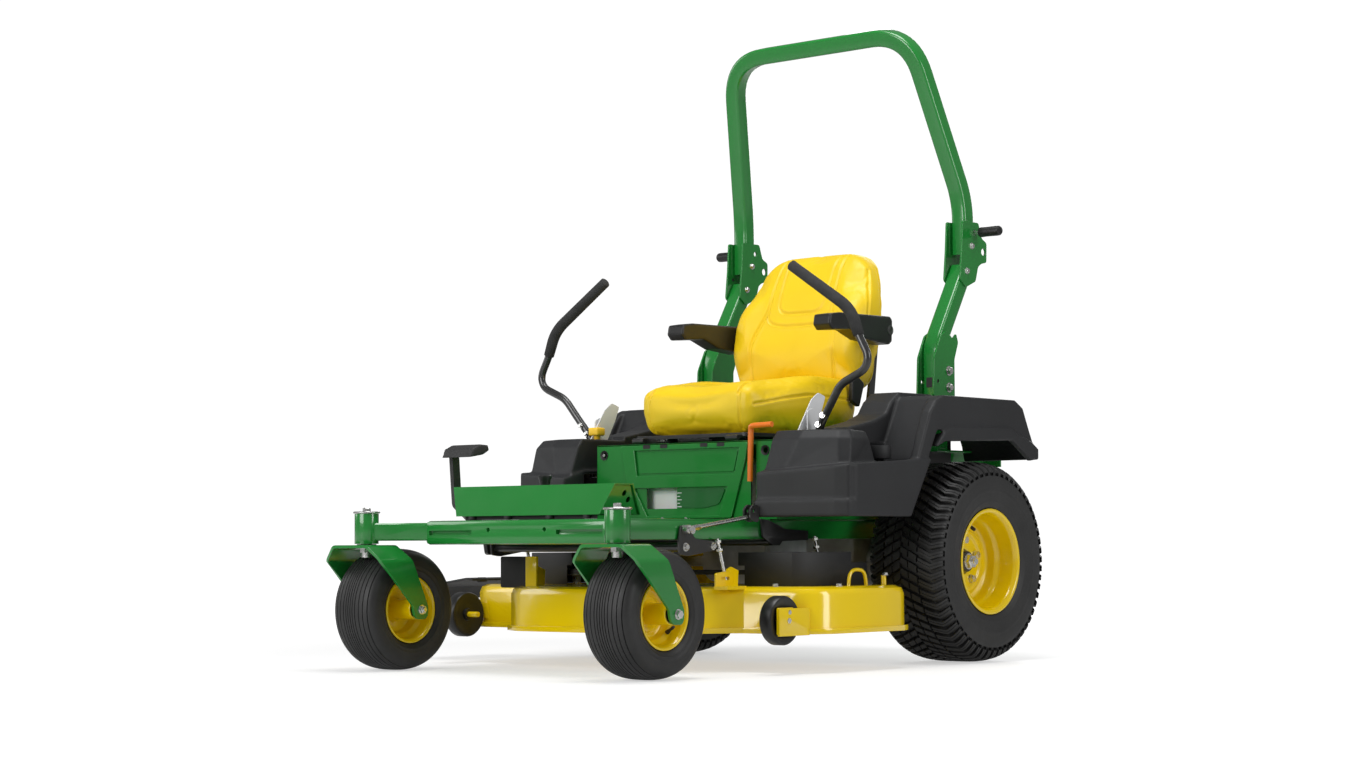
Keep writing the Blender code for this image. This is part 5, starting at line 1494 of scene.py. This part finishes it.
def build_front_lift():
    y, z = -0.968, 0.324
    work = bmesh.new()
    rod(work, (-0.352, y, z), (0.34, y, z), 0.012, 28)
    crank = [(y - 0.022, z - 0.02), (y + 0.01, z - 0.024), (y + 0.13, z - 0.008), (y + 0.13, z + 0.014),
             (y + 0.04, z + 0.022), (y + 0.012, z + 0.056), (y - 0.018, z + 0.056), (y - 0.026, z + 0.016)]
    for side in (-1, 1):
        low, high = sorted((side * 0.3335, side * 0.3395))
        plate(work, crank, "X", low, high, [circle((y + 0.112, z + 0.002), 0.0055)], round_corners=0.008)
    arm = [(y - 0.02, z - 0.02), (y + 0.02, z - 0.018), (y + 0.016, z + 0.04), (-1.088, 0.446),
           (-1.098, 0.576), (-1.126, 0.58), (-1.114, 0.436), (y - 0.03, z + 0.03)]
    plate(work, arm, "X", -0.364, -0.351, round_corners=0.01)
    finish_piece("lift_arms", work, "black_paint", "front_lift", ["lift_shaft"], smooth=35, bevel=0.0012)
    pad_side = [(-1.15, 0.566), (-1.14, 0.59), (-1.112, 0.602), (-1.082, 0.6), (-1.078, 0.586), (-1.1, 0.574)]
    pad = softened(combined([prism(pad_side, "X", -0.366, -0.256)]), 0.003, 5, 0.6)
    finish_piece("lift_pedal_pad", pad, "rubber", "front_lift", smooth=60)
    fixings = bmesh.new()
    for side in (-1, 1):
        bolt(fixings, (side * 0.3395, y + 0.112, z + 0.002), (side, 0, 0), 0.013)
        bolt(fixings, (side * 0.34, y, z), (side, 0, 0), 0.015)
        pin_end = (side * 0.356, y + 0.004, z + 0.044)
        rod(fixings, (side * 0.3396, y + 0.004, z + 0.044), pin_end, 0.0055, 16)
        turned(fixings, pin_end, (side, 0, 0), [(0, 0.0105), (0.006, 0.0105)], 20)
    finish_piece("lift_fixings", fixings, "zinc", "front_lift", smooth=30)
    dial = bmesh.new()
    turned(dial, (-0.25, -0.868, 0.3976), (0, 0, 1), [(0, 0.0068), (0.082, 0.0068), (0.084, 0.0115),
                                                       (0.092, 0.0125), (0.112, 0.0165), (0.118, 0.019),
                                                       (0.1235, 0.0188), (0.1255, 0.016)], 32)
    finish_piece("dial", dial, "smooth_plastic", "height_dial", ["height_knob"], smooth=35)
    link = bmesh.new()
    rod(link, (0.348, -0.972, 0.37), (0.348, -0.728, 0.4012), 0.0058, 24)
    rod(link, (0.348, -0.955, 0.3722), (0.348, -0.925, 0.376), 0.008, 6)
    rod(link, (0.34, -0.972, 0.37), (0.3566, -0.972, 0.37), 0.0112, 24)
    bolt(link, (0.3566, -0.972, 0.37), (1, 0, 0), 0.013)
    finish_piece("drag_link", link, "zinc", "lift_link", ["lift_rod"], smooth=35)
    socket = bmesh.new()
    ear = [(-0.728, 0.396), (-0.7, 0.388), (-0.69, 0.392), (-0.69, 0.432), (-0.712, 0.436), (-0.728, 0.424)]
    for low, high in ((0.335, 0.341), (0.356, 0.361)):
        plate(socket, ear, "X", low, high, [circle((-0.712, 0.418), 0.005)], round_corners=0.006)
    finish_piece("link_bracket", socket, "black_paint", "chassis", smooth=30, bevel=0.001)


# ---- mowing deck fittings -----------------------------------------------------------------------
def build_deck_fittings():
    rods = bmesh.new()
    for top, bottom in (((0.3455, -0.846, 0.346), (0.348, -0.812, 0.226)),
                        ((0.3455, -0.43, 0.352), (0.348, -0.398, 0.232))):
        start, end = Vector(top), Vector(bottom)
        way = (end - start).normalized()
        rod(rods, start, end, 0.0046, 16)
        for share in range(14):
            spot = start.lerp(end, 0.3 + 0.045 * share)
            rod(rods, spot, spot + way * 0.0022, 0.0053, 16)
        for share in (0.04, 0.22, 0.9):
            spot = start.lerp(end, share)
            hexagon(rods, spot, way, 0.0165, 0.007)
    finish_pair("deck_hanger_rods", rods, "zinc", ("deck", "deck"), smooth=30)
    brackets = bmesh.new()
    slot = [(-0.846, 0.238), (-0.812, 0.238), (-0.812, 0.246), (-0.846, 0.246)]
    plate(brackets, [(-0.868, 0.214), (-0.792, 0.214), (-0.792, 0.25), (-0.806, 0.262), (-0.868, 0.256)], "X",
          0.353, 0.3575, [slot], round_corners=0.006)
    box(brackets, (0.353, -0.87, 0.213), (0.398, -0.792, 0.2225))
    plate(brackets, [(-0.452, 0.262), (-0.38, 0.262), (-0.38, 0.286), (-0.402, 0.3), (-0.44, 0.3)], "X",
          0.36, 0.364, [circle((-0.416, 0.282), 0.008)], round_corners=0.005)
    low, high = local_box("deck_roller_left")
    middle_y, middle_z = (low.y + high.y) / 2, (low.z + high.z) / 2
    slots = [[(-0.884, z), (-0.868, z), (-0.868, z + 0.007), (-0.884, z + 0.007)]
             for z in (0.112, 0.126, 0.14)]
    plate(brackets, [(-0.905, 0.1), (-0.85, 0.1), (-0.84, 0.108), (-0.84, 0.17), (-0.905, 0.17)], "X",
          high.x + 0.001, high.x + 0.0055, slots, round_corners=0.006)
    finish_pair("deck_brackets", brackets, "yellow_paint", ("deck", "deck"), smooth=30, bevel=0.001)
    fixings = bmesh.new()
    bolt(fixings, (0.364, -0.416, 0.282), (1, 0, 0), 0.013)
    bolt(fixings, (high.x + 0.0055, -0.862, 0.158), (1, 0, 0), 0.011)
    bolt(fixings, (high.x + 0.0055, middle_y, middle_z), (1, 0, 0), 0.014)
    for spot in ((0.47, -0.76, 0.2203), (0.585, -0.64, 0.22), (0.56, -0.4, 0.246), (0.25, -0.93, 0.22)):
        bolt(fixings, spot, (0, 0, 1), 0.014)
    finish_pair("deck_fixings", fixings, "zinc", ("deck", "deck"), smooth=30)
    wheel = bmesh.new()
    width = high.x - low.x
    radius = (high.z - low.z) / 2
    profile = [(0.0, 0.009), (0.0, 0.016), (width * 0.16, 0.018), (width * 0.2, radius * 0.62),
               (width * 0.04, radius * 0.8), (width * 0.05, radius * 0.95), (width * 0.16, radius * 0.995),
               (width * 0.84, radius * 0.995), (width * 0.95, radius * 0.95), (width * 0.96, radius * 0.8),
               (width * 0.8, radius * 0.62), (width * 0.84, 0.018), (width, 0.016), (width, 0.009)]
    turned(wheel, (low.x, middle_y, middle_z), (1, 0, 0), profile, 56, closed=True)
    finish_pair("gauge_roller", wheel, "smooth_plastic", "roller", ["deck_roller"], smooth=35)
    trims = bmesh.new()
    plate(trims, [(-0.34, 0.215), (-0.2, 0.215), (-0.2, 0.262), (-0.215, 0.3), (-0.34, 0.3)], "Y",
          -0.95, -0.947, round_corners=0.006)
    finish_piece("deck_baffle", trims, "matt_black", "deck", smooth=30, bevel=0.0008)


# ---- engine top ---------------------------------------------------------------------------------
def build_engine_top():
    screen = bmesh.new()
    centre = Vector((0, 0.215, 0.67))
    spoke_height = Vector((0, 0, 0.0025))
    for radius in (0.03, 0.052, 0.074, 0.096, 0.116):
        turned(screen, centre, (0, 0, 1), [(0, radius), (0, radius + 0.004), (0.005, radius + 0.004),
                                           (0.005, radius)], 56, closed=True)
    for index in range(20):
        angle = 2 * math.pi * index / 20
        way = Vector((math.cos(angle), math.sin(angle), 0))
        rod(screen, centre + way * 0.028 + spoke_height, centre + way * 0.118 + spoke_height, 0.0022, 8)
    hub = [(0, 0.0), (0.008, 0.0), (0.008, 0.026), (0.004, 0.031), (0, 0.031)]
    turned(screen, centre, (0, 0, 1), hub, 40)
    finish_piece("fan_screen", screen, "smooth_plastic", "chassis", smooth=35)
    fins = bmesh.new()
    for side in (-1, 1):
        for index in range(9):
            y = 0.276 + 0.0145 * index
            low, high = sorted((side * 0.15, side * 0.262))
            box(fins, (low, y, 0.452), (high, y + 0.0035, 0.566))
    finish_piece("cylinder_fins", fins, "cast_metal", "chassis", smooth=30)
    straps = bmesh.new()
    for across in (-0.11, 0.0, 0.11):
        turned(straps, (across - 0.006, 0.452, 0.49), (1, 0, 0), [(0, 0.0462), (0, 0.048), (0.012, 0.048),
                                                                  (0.012, 0.0462)], 40, closed=True)
    finish_piece("muffler_straps", straps, "zinc", "chassis", smooth=35)
    canister = bmesh.new()
    turned(canister, (0.17, 0.185, 0.47), (1, 0, 0), [(0, 0.0), (0, 0.03), (0.006, 0.034), (0.062, 0.034),
                                                         (0.07, 0.028), (0.072, 0.0)], 40)
    finish_piece("oil_filter", canister, "white_plate", "chassis", smooth=35)
    # Painted shade: a flat matt black sheet inboard of the wheel arch closes the see-through gap behind the
    # moulding, standing in for the shade in that gap and for the dark frame parts there.
    shade_sheet = bmesh.new()
    plate(shade_sheet, [(-0.33, 0.41), (0.12, 0.41), (0.236, 0.56), (0.236, 0.715), (-0.13, 0.715),
                  (-0.33, 0.54)], "X", 0.34, 0.3436, round_corners=0.01)
    finish_pair("arch_shade_sheet", shade_sheet, "matt_black", BOTH_CHASSIS, smooth=30)


build_camera()
build_lights()
build_floor()
build_world()
paint_cad()
build_front_wheels()
build_rear_tyre()
build_rear_rims()
build_forks()
build_mouldings()
build_seat()
build_armrests()
build_levers()
build_hoop()
build_posts()
build_tower()
build_seat_frame()
build_guard()
build_front_lift()
build_deck_fittings()
build_engine_top()
